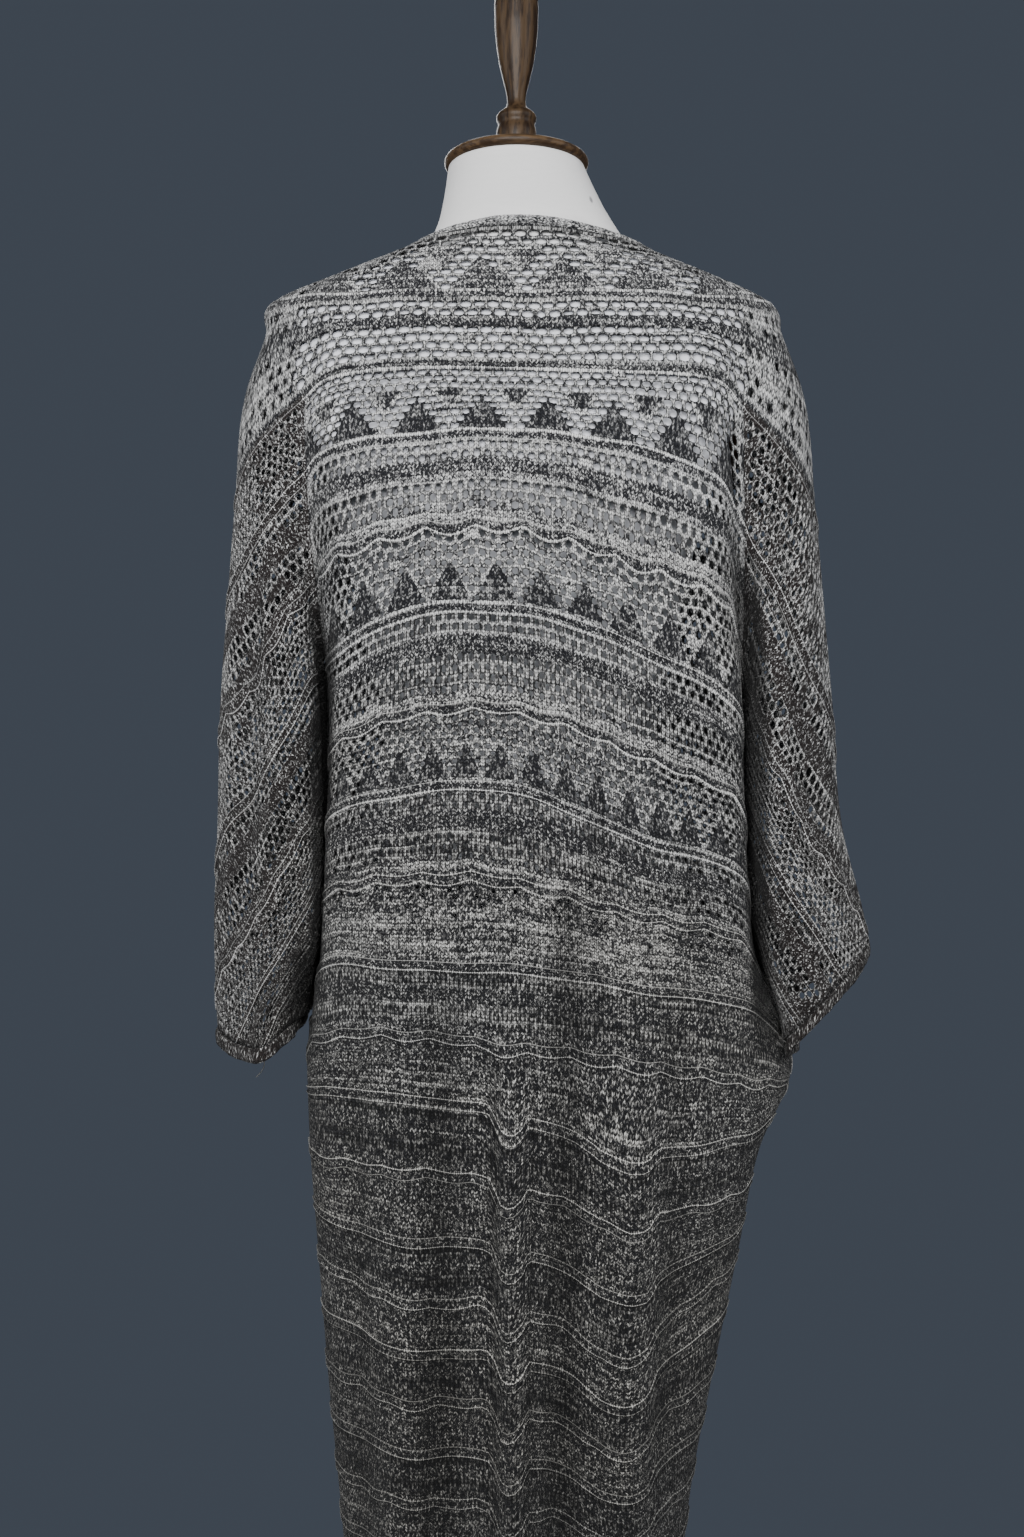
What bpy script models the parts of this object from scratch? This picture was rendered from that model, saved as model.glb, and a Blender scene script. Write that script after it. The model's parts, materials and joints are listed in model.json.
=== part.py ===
"""Open-front lace cardigan with batwing sleeves, hanging on a limbless dress form on a stand.

Metres, +Z up. The wearer's front faces -Y and the wearer's left is +X. The origin is the centre of
the base's underside, on the floor. Every knitted piece is a thin wall on one set of horizontal
sections. A section runs from the centre back (or the front edge) round to the seam, through named
stations: middle, lip, fold, inner, crown, edge. "fold" is the bottom of the fold between body and
sleeve, and below the underarm it is the side seam. "edge" is the seam along the top of the arm.
"""

import math

import bmesh
import bpy
import numpy as np

WALL = 0.002  # knitted wall
GAP = 0.0003  # between neighbouring pieces
SEAM_HALF = GAP / 2  # from the middle of a seam to each wall
SEAM_REACH = 0.0015  # the wall's corners this near a seam's plane are drawn onto its face
BAND_RADIUS = 0.004  # rolled band round the neck and down the fronts
CORNER_CLEAR = 0.0010  # added to the band's clearance where it turns over the shoulder
BAND_CLEAR = 0.0003  # from a panel's edge to the band, which is straight between its points
CUFF_DEPTH = 0.012
CUFF_WALL = 0.003
HEM_HEIGHT = 0.24
STATIONS = ("middle", "lip", "fold", "inner", "crown", "edge")
FOLD, EDGE = 3, 6  # places of two stations along a section; the centre back is 0

# Sections of the inner face of the garment, from the neck to the hem, one table for each side.
SECTION_COLUMNS = (
    "height", "lip_x", "lip_y", "fold_x", "fold_y", "inner_x", "inner_y", "crown_x", "crown_y", "edge_x"
)
LEFT_SECTIONS = (
    (1.430, 0.026, 0.052, 0.031, 0.048, 0.035, 0.040, 0.039, 0.022, 0.041),
    (1.413, 0.054, 0.057, 0.063, 0.050, 0.070, 0.040, 0.078, 0.022, 0.082),
    (1.400, 0.079, 0.064, 0.091, 0.055, 0.101, 0.044, 0.112, 0.025, 0.117),
    (1.385, 0.106, 0.070, 0.122, 0.060, 0.135, 0.048, 0.149, 0.028, 0.156),
    (1.367, 0.130, 0.080, 0.150, 0.070, 0.168, 0.056, 0.190, 0.032, 0.201),
    (1.340, 0.138, 0.094, 0.160, 0.083, 0.180, 0.067, 0.199, 0.040, 0.206),
    (1.300, 0.143, 0.105, 0.166, 0.091, 0.186, 0.076, 0.210, 0.046, 0.221),
    (1.200, 0.147, 0.107, 0.166, 0.084, 0.184, 0.084, 0.214, 0.064, 0.232),
    (1.110, 0.146, 0.101, 0.160, 0.062, 0.177, 0.084, 0.208, 0.080, 0.239),
    (1.040, 0.143, 0.093, 0.156, 0.036, 0.166, 0.086, 0.198, 0.091, 0.244),
    (0.950, 0.145, 0.087, 0.156, 0.022, 0.166, 0.085, 0.200, 0.095, 0.246),
    (0.850, 0.151, 0.080, 0.159, 0.019, 0.167, 0.081, 0.203, 0.092, 0.249),
    (0.790, 0.158, 0.072, 0.169, 0.000, 0.182, 0.066, 0.207, 0.082, 0.247),
    (0.700, 0.156, 0.068, 0.170, 0.000, 0.186, 0.060, 0.208, 0.078, 0.240),
    (0.600, 0.149, 0.064, 0.163, 0.000, 0.186, 0.060, 0.208, 0.078, 0.240),
    (0.500, 0.142, 0.060, 0.155, 0.000, 0.186, 0.060, 0.208, 0.078, 0.240),
    (0.360, 0.130, 0.056, 0.142, 0.000, 0.186, 0.060, 0.208, 0.078, 0.240),
    (0.230, 0.122, 0.052, 0.134, 0.000, 0.186, 0.060, 0.208, 0.078, 0.240),
)
RIGHT_SECTIONS = (
    (1.430, 0.040, 0.052, 0.045, 0.047, 0.050, 0.038, 0.053, 0.022, 0.055),
    (1.410, 0.066, 0.059, 0.077, 0.051, 0.086, 0.040, 0.095, 0.022, 0.100),
    (1.398, 0.088, 0.065, 0.102, 0.056, 0.113, 0.044, 0.124, 0.025, 0.130),
    (1.385, 0.110, 0.070, 0.126, 0.060, 0.140, 0.048, 0.155, 0.028, 0.162),
    (1.367, 0.132, 0.080, 0.152, 0.070, 0.170, 0.056, 0.192, 0.032, 0.203),
    (1.340, 0.140, 0.094, 0.163, 0.083, 0.184, 0.067, 0.204, 0.040, 0.213),
    (1.300, 0.147, 0.105, 0.170, 0.091, 0.192, 0.076, 0.217, 0.046, 0.228),
    (1.200, 0.156, 0.107, 0.175, 0.084, 0.193, 0.084, 0.222, 0.064, 0.240),
    (1.110, 0.162, 0.101, 0.177, 0.060, 0.193, 0.084, 0.222, 0.080, 0.248),
    (1.040, 0.165, 0.093, 0.178, 0.036, 0.187, 0.086, 0.220, 0.090, 0.254),
    (0.950, 0.170, 0.086, 0.180, 0.022, 0.190, 0.084, 0.224, 0.094, 0.260),
    (0.850, 0.177, 0.080, 0.187, 0.019, 0.197, 0.080, 0.236, 0.092, 0.283),
    (0.770, 0.186, 0.070, 0.219, 0.000, 0.211, 0.079, 0.243, 0.090, 0.286),
    (0.740, 0.185, 0.068, 0.220, 0.000, 0.211, 0.079, 0.243, 0.090, 0.286),
    (0.680, 0.174, 0.065, 0.194, 0.000, 0.211, 0.079, 0.243, 0.090, 0.286),
    (0.600, 0.160, 0.062, 0.177, 0.000, 0.211, 0.079, 0.243, 0.090, 0.286),
    (0.500, 0.142, 0.058, 0.156, 0.000, 0.211, 0.079, 0.243, 0.090, 0.286),
    (0.420, 0.128, 0.056, 0.140, 0.000, 0.211, 0.079, 0.243, 0.090, 0.286),
    (0.230, 0.112, 0.050, 0.122, 0.000, 0.211, 0.079, 0.243, 0.090, 0.286),
)
SECTIONS = {"left": LEFT_SECTIONS, "right": RIGHT_SECTIONS}
SIGN = {"left": 1.0, "right": -1.0}

# Depth of the garment behind the centre line, and where each front edge hangs.
BACK_DEPTH_COLUMNS = ("height", "depth")
BACK_DEPTH = (
    (1.430, 0.059), (1.413, 0.068), (1.385, 0.084), (1.367, 0.096), (1.340, 0.108), (1.300, 0.118),
    (1.200, 0.128), (1.040, 0.129), (0.850, 0.130), (0.700, 0.124), (0.500, 0.116), (0.230, 0.110),
)
FRONT_EDGE_COLUMNS = ("height", "left_x", "right_x", "depth")
FRONT_EDGES = (
    (1.430, 0.078, 0.092, 0.002),
    (1.405, 0.088, 0.104, 0.012),
    (1.395, 0.084, 0.098, 0.036),
    (1.380, 0.081, 0.090, 0.056),
    (1.360, 0.078, 0.082, 0.075),
    (1.300, 0.072, 0.073, 0.113),
    (1.200, 0.066, 0.066, 0.138),
    (1.040, 0.061, 0.061, 0.138),
    (0.850, 0.058, 0.058, 0.135),
    (0.500, 0.054, 0.054, 0.122),
    (0.230, 0.050, 0.050, 0.115),
)
MIDDLE_ACROSS, MIDDLE_FALL = 0.55, 0.19  # the back's middle station, as shares of the way to the lip
FRONT_SHARE = 0.92  # the front stations lie this much as deep as those of the back
FRONT_FULLNESS = 0.006  # the front's middle station stands this far before a straight line
YOKE_LOW, YOKE_HIGH = 1.30, 1.36  # the front section eases into a plain arc between these heights
YOKE_CORNER = 0.75  # share of the front's width at which that arc turns to the seam
SHOULDER_SLOPE = 0.44
NECK_END, NECK_STEPS = 5.2, 13  # place on the back's top row where the band turns to the front

# Height of each welt (the raised double ridge) at the stations it passes, one row for each welt.
WELT_COLUMNS = ("welt", "left_edge", "left_inner", "left_lip", "left_middle", "centre",
                "right_middle", "right_lip", "right_inner", "right_edge")
WELTS = (
    (0, 1.409, 1.411, 1.414, 1.417, 1.418, 1.416, 1.411, 1.408, 1.406),
    (1, 1.358, 1.357, 1.355, 1.355, 1.355, 1.355, 1.353, 1.355, 1.360),
    (2, 1.205, 1.265, 1.294, 1.299, 1.298, 1.296, 1.293, 1.255, 1.190),
    (3, 1.115, 1.200, 1.232, 1.242, 1.243, 1.231, 1.203, 1.141, 1.000),
    (4, 1.010, 1.116, 1.151, 1.172, 1.172, 1.146, 1.117, 1.018, 0.842),
    (5, 0.905, 1.050, 1.078, 1.108, 1.108, 1.078, 1.039, 0.927, 0.760),
    (6, 0.795, 0.948, 1.010, 1.031, 1.032, 0.999, 0.965, 0.815, 0.680),
    (7, 0.715, 0.887, 0.956, 0.971, 0.970, 0.932, 0.906, 0.755, 0.620),
    (8, 0.650, 0.824, 0.892, 0.903, 0.898, 0.874, 0.849, 0.690, 0.560),
    (9, 0.590, 0.760, 0.834, 0.836, 0.833, 0.819, 0.797, 0.640, 0.500),
    (10, 0.530, 0.700, 0.775, 0.782, 0.774, 0.760, 0.738, 0.590, 0.450),
    (11, 0.480, 0.650, 0.733, 0.729, 0.723, 0.697, 0.694, 0.550, 0.400),
    (12, 0.440, 0.610, 0.678, 0.672, 0.669, 0.647, 0.647, 0.510, 0.350),
    (14, 0.360, 0.530, 0.591, 0.573, 0.575, 0.551, 0.583, 0.430, 0.260),
    (16, 0.280, 0.450, 0.507, 0.496, 0.497, 0.478, 0.498, 0.350, 0.180),
    (18, 0.200, 0.370, 0.425, 0.417, 0.418, 0.406, 0.416, 0.270, 0.100),
    (22.6, 0.020, 0.190, HEM_HEIGHT, HEM_HEIGHT, HEM_HEIGHT, HEM_HEIGHT, HEM_HEIGHT, 0.090, -0.080),
)
LAST_WELT = WELTS[-1][0]
UNDERARM_WELT = {"left": 9.15, "right": 8.0}
CENTRE_WELT = 8.6  # the row that reaches both underarms crosses the centre here
LEVEL_BELOW = 3.0  # welts below the underarm over which the side seam's rows come level with the lip's
FRONT_TOP, FRONT_DROP = 1.405, 0.045  # height of the front edge's upper end, and its fall over a welt

# Upright pleats in the skirt: where each stands, its width and its depth at the hem, and its top.
PLEAT_COLUMNS = ("across", "half_width", "depth", "top")
PLEATS = (
    (0.098, 0.026, 0.014, 0.74),
    (0.050, 0.020, -0.010, 0.72),
    (0.004, 0.014, 0.014, 0.80),
    (-0.034, 0.018, -0.011, 0.74),
    (-0.090, 0.026, 0.016, 0.78),
    (-0.058, 0.007, -0.004, 0.96),
)
PLEAT_EASE = 0.30  # height over which a pleat grows to its full depth
PLEAT_FADE = 2.3  # place from which the pleats die away towards the fold

# Height of the lower edge of each sleeve at the stations from the fold to the seam.
CUFF_STATIONS = (3, 4, 5, 6)
CUFF_HEIGHTS = {
    "left": (0.790, 0.785, 0.768, 0.777),
    "right": (0.770, 0.776, 0.794, 0.853),
}
CUFF_NEAR, CUFF_FREE = 3.1, 4.2  # between these places the cuff band eases away from the side seam
CUFF_CLEAR, CUFF_STEPS = 0.008, 10

# Rows of the walls, as welt numbers at the centre, down to the underarm and on down the skirt.
YOKE_ROWS = (
    0, 0.12, 0.25, 0.4, 0.55, 0.75, 1, 1.4, 1.8, 2.3, 2.8, 3.4, 4, 4.6, 5.2, 5.8, 6.5, 7.2, 7.9, CENTRE_WELT
)
SKIRT_ROWS = (9.4, 10.2, 11, 11.9, 12.9, 14, 15.3, 16.8, 18.4, 20, 21.4, LAST_WELT)
BODY_PLACES = (0, 0.12, 0.26, 0.45, 0.7, 1.0, 1.35, 1.75, 2.2, 2.6, FOLD)  # columns down to the hem
SLEEVE_STEPS = 9

# Rings of the dress form's torso: its half width, its depth behind and before, and how square it is.
TORSO_COLUMNS = ("height", "half_width", "back", "front", "power")
TORSO = (
    (0.720, 0.128, 0.096, 0.086, 2.2),
    (0.760, 0.138, 0.108, 0.094, 2.2),
    (0.850, 0.142, 0.112, 0.098, 2.2),
    (0.930, 0.130, 0.100, 0.092, 2.2),
    (1.020, 0.112, 0.082, 0.084, 2.2),
    (1.090, 0.126, 0.088, 0.098, 2.2),
    (1.160, 0.142, 0.098, 0.122, 2.3),
    (1.230, 0.158, 0.106, 0.116, 2.4),
    (1.290, 0.178, 0.105, 0.094, 2.4),
    (1.334, 0.192, 0.098, 0.074, 2.3),
    (1.368, 0.190, 0.084, 0.056, 2.1),
    (1.3845, 0.156, 0.076, 0.048, 2.0),
    (1.396, 0.114, 0.068, 0.037, 2.0),
    (1.3995, 0.088, 0.061, 0.037, 2.0),
    (1.409, 0.073, 0.055, 0.041, 2.0),
    (1.426, 0.069, 0.052, 0.046, 2.0),
    (1.446, 0.063, 0.053, 0.051, 2.0),
    (1.4785, 0.0565, 0.0555, 0.0555, 2.0),
)
TORSO_SIDES = 28
ARMHOLE_X = 0.165  # flat sides of the torso under the shoulder caps
NECK_TILT = math.radians(6.0)  # the top of the neck leans forward
NECK_TOP = TORSO[-1][0]
NECK_SHIFT = 0.003  # sideways lean of the neck
ARMHOLE_CUTTER = (0.1, 0.4, 0.6)
SHOULDER_CAP = {"height": 1.288, "half_tall": 0.058, "half_deep": 0.042, "thick": 0.012, "rim": 0.003}

# Turned profiles as (radius, height) from the top down.
NECK_CAP_PROFILE = (
    (0.0175, 0.0090), (0.0545, 0.0090), (0.0585, 0.0075), (0.0593, 0.0045), (0.0585, 0.0015), (0.0565, 0.0)
)
FINIAL_PROFILE = (
    (0.0050, 0.1660), (0.0105, 0.1635), (0.0150, 0.1560), (0.0175, 0.1440), (0.0182, 0.1290),
    (0.0178, 0.1100), (0.0165, 0.0950), (0.0140, 0.0790), (0.0110, 0.0660), (0.0085, 0.0560),
    (0.0074, 0.0490), (0.0080, 0.0430), (0.0115, 0.0395), (0.0158, 0.0370), (0.0170, 0.0335),
    (0.0158, 0.0300), (0.0140, 0.0285), (0.0150, 0.0265), (0.0165, 0.0230), (0.0165, 0.0060),
    (0.0172, 0.0),
)
BASE_PROFILE = (
    (0.0260, 0.0620), (0.0300, 0.0600), (0.0320, 0.0540), (0.0340, 0.0460), (0.0480, 0.0380),
    (0.1000, 0.0300), (0.1600, 0.0240), (0.1760, 0.0200), (0.1800, 0.0140), (0.1800, 0.0040),
    (0.1770, 0.0),
)
BASE_TOP = BASE_PROFILE[0][1]
POLE_RADIUS = 0.016
TURNED_STEPS, FINIAL_STEPS = 32, 20

KNIT = {"color": (0.20, 0.19, 0.175), "roughness": 0.9}
LINEN = {"color": (0.78, 0.77, 0.75), "roughness": 0.85}
DARK_WOOD = {"color": (0.10, 0.045, 0.022), "roughness": 0.35}


def hermite(x, knots, values):
    """A smooth curve through values at increasing knots, level beyond its ends."""
    knots, values = np.asarray(knots, float), np.asarray(values, float)
    slopes = np.gradient(values, knots)
    x = np.clip(x, knots[0], knots[-1])
    i = np.clip(np.searchsorted(knots, x) - 1, 0, len(knots) - 2)
    width = knots[i + 1] - knots[i]
    t = (x - knots[i]) / width
    return (
        (1 + 2 * t) * (1 - t) ** 2 * values[i] + t * (1 - t) ** 2 * width * slopes[i]
        + t * t * (3 - 2 * t) * values[i + 1] - t * t * (1 - t) * width * slopes[i + 1]
    )


def by_height(rows, columns, name, height):
    """One named column of a table whose rows run from the neck down, read at a height."""
    table = np.array(rows[::-1])
    return float(hermite(height, table[:, 0], table[:, columns.index(name)]))


def through(points, place):
    """The point at a place on the Catmull-Rom curve through points[1:-1], at places 0, 1, 2... of it."""
    i = int(min(max(math.floor(place), 0), len(points) - 4))
    t = place - i
    before, start, end, after = (np.asarray(p) for p in points[i : i + 4])
    return 0.5 * (
        2 * start + (end - before) * t
        + (2 * before - 5 * start + 4 * end - after) * t * t
        + (3 * start - 3 * end + after - before) * t ** 3
    )


def smooth_step(low, high, x):
    t = min(max((x - low) / (high - low), 0.0), 1.0)
    return t * t * (3 - 2 * t)


def side_stations(side, height):
    """(x, y) of the lip, fold, inner, crown and edge stations of the back, x counted outwards."""
    row = {name: by_height(SECTIONS[side], SECTION_COLUMNS, name, height) for name in SECTION_COLUMNS}
    stations = [(row[name + "_x"], max(row[name + "_y"], 0.0)) for name in STATIONS[1:5]]
    return stations + [(row["edge_x"], 0.0)]


def front_edge(side, height):
    across, depth = (
        by_height(FRONT_EDGES, FRONT_EDGE_COLUMNS, name, height) for name in (f"{side}_x", "depth")
    )
    return np.array((across, -depth))


def pleat_depth(across, height):
    """How far the pleats push the skirt out at a place across it."""
    pushed = 0.0
    for pleat in (dict(zip(PLEAT_COLUMNS, row)) for row in PLEATS):
        grown = smooth_step(0.0, PLEAT_EASE, pleat["top"] - height)
        off = (across - pleat["across"]) / pleat["half_width"]
        pushed += pleat["depth"] * grown * math.exp(-off * off)
    return pushed


def section_points(side, height, half, place):
    """The stations of one half section, with a ghost point at each end for the curve's direction."""
    lip, fold, inner, crown, edge = side_stations(side, height)
    if half == "back":
        depth = by_height(BACK_DEPTH, BACK_DEPTH_COLUMNS, "depth", height)
        middle = (MIDDLE_ACROSS * lip[0], depth - MIDDLE_FALL * (depth - lip[1]))
        start, ghost = (0.0, depth), (-middle[0], middle[1])
    else:
        share = np.array((1.0, -FRONT_SHARE))
        lip, fold, inner, crown = (np.array(p) * share for p in (lip, fold, inner, crown))
        start = front_edge(side, height)
        middle = 0.5 * (start + lip) - np.array((0.0, FRONT_FULLNESS))
        ghost = 2 * start - middle
    points = [ghost, start, middle, lip, fold]
    if place <= FOLD and height < underarm_height(side):
        points.append((lip[0], -lip[1]))
    else:
        points += [inner, crown, edge, (crown[0], -crown[1])]
    return [np.asarray(p, float) for p in points]


def yoke_arc(side, height, place):
    """The plain arc of the front above the chest, from the front edge at 0 to the seam."""
    front = front_edge(side, height)
    seam = np.array(side_stations(side, height)[-1])
    corner = np.array((front[0] + YOKE_CORNER * (seam[0] - front[0]), front[1]))
    t = place / EDGE
    return (1 - t) ** 2 * front + 2 * t * (1 - t) * corner + t * t * seam


def cloth_point(side, half, height, place):
    """A point of the garment's inner face, at a height and a place along the half section."""
    flat = through(section_points(side, height, half, place), place)
    if half == "front" and height > YOKE_LOW:
        share = smooth_step(YOKE_LOW, YOKE_HIGH, height)
        flat = (1 - share) * flat + share * yoke_arc(side, height, place)
    x, y = SIGN[side] * flat[0], flat[1]
    away = 1.0 if half == "back" else -1.0
    fade = 1.0 - smooth_step(PLEAT_FADE, FOLD, place)
    y += away * fade * pleat_depth(x if half == "back" else -x, height)
    return np.array((x, y + away * SEAM_HALF, height))


def welt_height(side, half, welt, place):
    """The height at which a welt, or a row between two, passes a place along the half section."""
    table = np.array(WELTS)
    names = {name: hermite(welt, table[:, 0], table[:, i]) for i, name in enumerate(WELT_COLUMNS)}
    lip, inner, edge = (float(names[f"{side}_{name}"]) for name in ("lip", "inner", "edge"))
    middle, start = float(names[f"{side}_middle"]), float(names["centre"])
    if half == "front":
        middle = 0.5 * (middle + lip)
        start = min(middle, FRONT_TOP - FRONT_DROP * welt)
        middle, lip, inner = (
            min(own, start + max(edge - start, 0.0) * station / EDGE)
            for own, station in ((middle, 1), (lip, 2), (inner, 4))
        )
    if place <= 2:
        return float(hermite(place, (0, 1, 2), (start, middle, lip)))
    underarm = UNDERARM_WELT[side]
    fold = lip + 0.5 * (inner - lip) * (1 - smooth_step(underarm, underarm + LEVEL_BELOW, welt))
    return float(np.interp(place, (2, FOLD, 4, EDGE), (lip, fold, inner, edge)))


def underarm_height(side):
    return welt_height(side, "back", UNDERARM_WELT[side], FOLD)


def row_welt(side, row, place):
    """The welt number of a row at a place: the same at the centre, and at the fold the side's own."""
    underarm = UNDERARM_WELT[side]
    if row <= CENTRE_WELT:
        own = row * underarm / CENTRE_WELT
    else:
        own = LAST_WELT + (row - LAST_WELT) * (LAST_WELT - underarm) / (LAST_WELT - CENTRE_WELT)
    return row + (own - row) * min(place / FOLD, 1.0)


def body_grid(side, half):
    """Rows of points from the centre or front edge to the fold, down the whole piece."""
    grid = []
    for row in YOKE_ROWS + SKIRT_ROWS:
        points = []
        for place in BODY_PLACES:
            height = welt_height(side, half, row_welt(side, row, place), place)
            points.append(cloth_point(side, half, height, place))
        grid.append(points)
    return grid


def cuff_height(side, place):
    return float(hermite(place, CUFF_STATIONS, CUFF_HEIGHTS[side]))


def sleeve_grid(side, half, body):
    """Rows of points from the fold to the seam, from the neck to the sleeve's lower edge."""
    places = np.linspace(FOLD, EDGE, SLEEVE_STEPS + 1)
    joined = body[: len(YOKE_ROWS)]
    top, low = joined[0][-1][2], joined[-1][-1][2]
    grid = []
    for row in joined:
        down = (top - row[-1][2]) / (top - low)
        points = [row[-1]]
        for place in places[1:]:
            start = welt_height(side, half, 0, place)
            height = start + down * (cuff_height(side, place) - start)
            points.append(cloth_point(side, half, height, place))
        grid.append(points)
    return grid


def collection_named(name):
    found = bpy.data.collections.new(name)
    bpy.context.scene.collection.children.link(found)
    return found


def material_named(name, color, roughness, metallic=0.0):
    made = bpy.data.materials.new(name)
    made.use_nodes = True
    shader = made.node_tree.nodes["Principled BSDF"]
    shader.inputs["Base Color"].default_value = (*color, 1.0)
    shader.inputs["Roughness"].default_value = roughness
    shader.inputs["Metallic"].default_value = metallic
    return made


def add_object(name, data, collection, material):
    made = bpy.data.objects.new(name, data)
    data.materials.append(material)
    collection.objects.link(made)
    return made


def mesh_of(name, points, faces):
    mesh = bpy.data.meshes.new(name)
    mesh.from_pydata([tuple(map(float, p)) for p in points], [], faces)
    work = bmesh.new()
    work.from_mesh(mesh)
    bmesh.ops.remove_doubles(work, verts=work.verts, dist=1e-5)
    work.to_mesh(mesh)
    work.free()
    return mesh


def grid_faces(rows, columns, first, turned, closed=False):
    """Quads of a grid of points numbered row by row from first."""
    faces = []
    for i in range(rows - 1):
        for j in range(columns if closed else columns - 1):
            k = (j + 1) % columns
            a, b = first + i * columns + j, first + i * columns + k
            c, d = b + columns, a + columns
            faces.append((a, b, c, d) if turned else (d, c, b, a))
    return faces


def add_wall(name, grids, collection, material, thickness=WALL, seam=0.0):
    """A knitted wall: open grids of inner-face points, thickened outwards.

    grids holds (grid, turned, closed): turned swaps its faces' sides, closed joins its last column to
    its first. seam is the Y at which the wall ends against its neighbour's.
    """
    points, faces = [], []
    for grid, turned, closed in grids:
        faces += grid_faces(len(grid), len(grid[0]), len(points), turned, closed)
        points += [p for row in grid for p in row]
    mesh = mesh_of(name, points, faces)
    work = bmesh.new()
    work.from_mesh(mesh)
    bmesh.ops.solidify(work, geom=work.faces[:], thickness=thickness)
    if seam:
        for corner in work.verts:
            if abs(corner.co.y) < SEAM_REACH:
                corner.co.y = seam
    work.to_mesh(mesh)
    work.free()
    return add_object(name, mesh, collection, material)


def add_back(collection, material):
    grids = []
    for side in SIGN:
        body = body_grid(side, "back")
        turned = side == "right"
        grids += [(body, turned, False), (sleeve_grid(side, "back", body), turned, False)]
    for left, right in zip(grids[0][0], grids[2][0]):
        right[0] = left[0]
    return add_wall("cardigan_back", grids, collection, material, seam=SEAM_HALF)


def add_front(side, collection, material):
    body = body_grid(side, "front")
    turned = side == "left"
    grids = [(body, turned, False), (sleeve_grid(side, "front", body), turned, False)]
    return add_wall(f"front_{side}", grids, collection, material, seam=-SEAM_HALF)


def add_cuff(side, collection, material):
    """The narrow doubled band round a sleeve's lower edge."""
    places = np.linspace(CUFF_NEAR, EDGE, CUFF_STEPS)
    ring = [("back", place) for place in places] + [("front", place) for place in places[-2::-1]]
    grid = []
    for drop in (3 * GAP, CUFF_DEPTH / 2, CUFF_DEPTH):
        row = []
        for half, place in ring:
            point = cloth_point(side, half, cuff_height(side, place) - drop, place)
            point[0] += SIGN[side] * CUFF_CLEAR * (1 - smooth_step(CUFF_NEAR, CUFF_FREE, place))
            if place == EDGE:
                point[1] = 0.0
            row.append(point)
        grid.append(row)
    return add_wall(f"cuff_{side}", [(grid, side == "right", True)], collection, material, CUFF_WALL)


def beside(edge, away):
    """Points beside an edge, square to it, on the side that the away vectors point to."""
    edge, away = np.array(edge), np.array(away)
    along = np.gradient(edge, axis=0)
    along /= np.linalg.norm(along, axis=1)[:, None]
    away -= along * (away * along).sum(axis=1)[:, None]
    away /= np.linalg.norm(away, axis=1)[:, None]
    at_corner = np.array([smooth_step(YOKE_HIGH, FRONT_TOP, point[2]) for point in edge])[:, None]
    return list(edge + away * (BAND_RADIUS + BAND_CLEAR + at_corner * CORNER_CLEAR))


def band_path():
    """Points along the rolled band: up the left front edge, round the back neck and down the right one."""
    def row_point(side, half, welt, place):
        return cloth_point(side, half, welt_height(side, half, welt, place), place)

    fronts = {}
    for side, sign in SIGN.items():
        edge = [row_point(side, "front", welt, 0.0) for welt in YOKE_ROWS + SKIRT_ROWS]
        rises = [SHOULDER_SLOPE * smooth_step(YOKE_HIGH, FRONT_TOP, point[2]) for point in edge]
        fronts[side] = beside(edge, [(-sign, 0.0, rise) for rise in rises])
    places = np.linspace(0, NECK_END, NECK_STEPS + 1)
    neck = [("left", place) for place in places[::-1]] + [("right", place) for place in places[1:]]
    edge, inside = (
        np.array([row_point(side, "back", welt, place) for side, place in neck])
        for welt in YOKE_ROWS[:2]
    )
    return fronts["left"][::-1] + beside(edge, edge - inside) + fronts["right"]


def add_tube(name, path, radius, collection, material):
    curve = bpy.data.curves.new(name, "CURVE")
    curve.dimensions = "3D"
    curve.bevel_depth = radius
    curve.bevel_resolution = 1
    curve.use_fill_caps = True
    spline = curve.splines.new("POLY")
    spline.points.add(len(path) - 1)
    for point, place in zip(spline.points, path):
        point.co = (*map(float, place), 1.0)
    return add_object(name, curve, collection, material)


def add_turned(name, profile, collection, material, steps=TURNED_STEPS):
    """A solid of revolution from a (radius, height) profile that runs down its outer side."""
    points = [(0.0, 0.0, profile[0][1])] + [(r, 0.0, z) for r, z in profile] + [(0.0, 0.0, profile[-1][1])]
    mesh = bpy.data.meshes.new(name)
    mesh.from_pydata(points, [(i, i + 1) for i in range(len(points) - 1)], [])
    made = add_object(name, mesh, collection, material)
    screw = made.modifiers.new("Turn", "SCREW")
    screw.steps = screw.render_steps = steps
    screw.use_merge_vertices = True
    screw.merge_threshold = 1e-5
    screw.use_smooth_shade = True
    return made


def torso_ring(height, half_width, back, front, power):
    """One closed ring of the torso: a rounded oval, tilted and shifted towards the neck's top."""
    rise = smooth_step(TORSO[-4][0], NECK_TOP, height)
    ring = []
    for i in range(TORSO_SIDES):
        angle = 2 * math.pi * i / TORSO_SIDES
        c, s = math.cos(angle), math.sin(angle)
        x = half_width * math.copysign(abs(c) ** (2 / power), c) + rise * NECK_SHIFT
        y = (back if s > 0 else front) * math.copysign(abs(s) ** (2 / power), s)
        ring.append((x, y, height + rise * math.tan(NECK_TILT) * y))
    return ring


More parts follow.
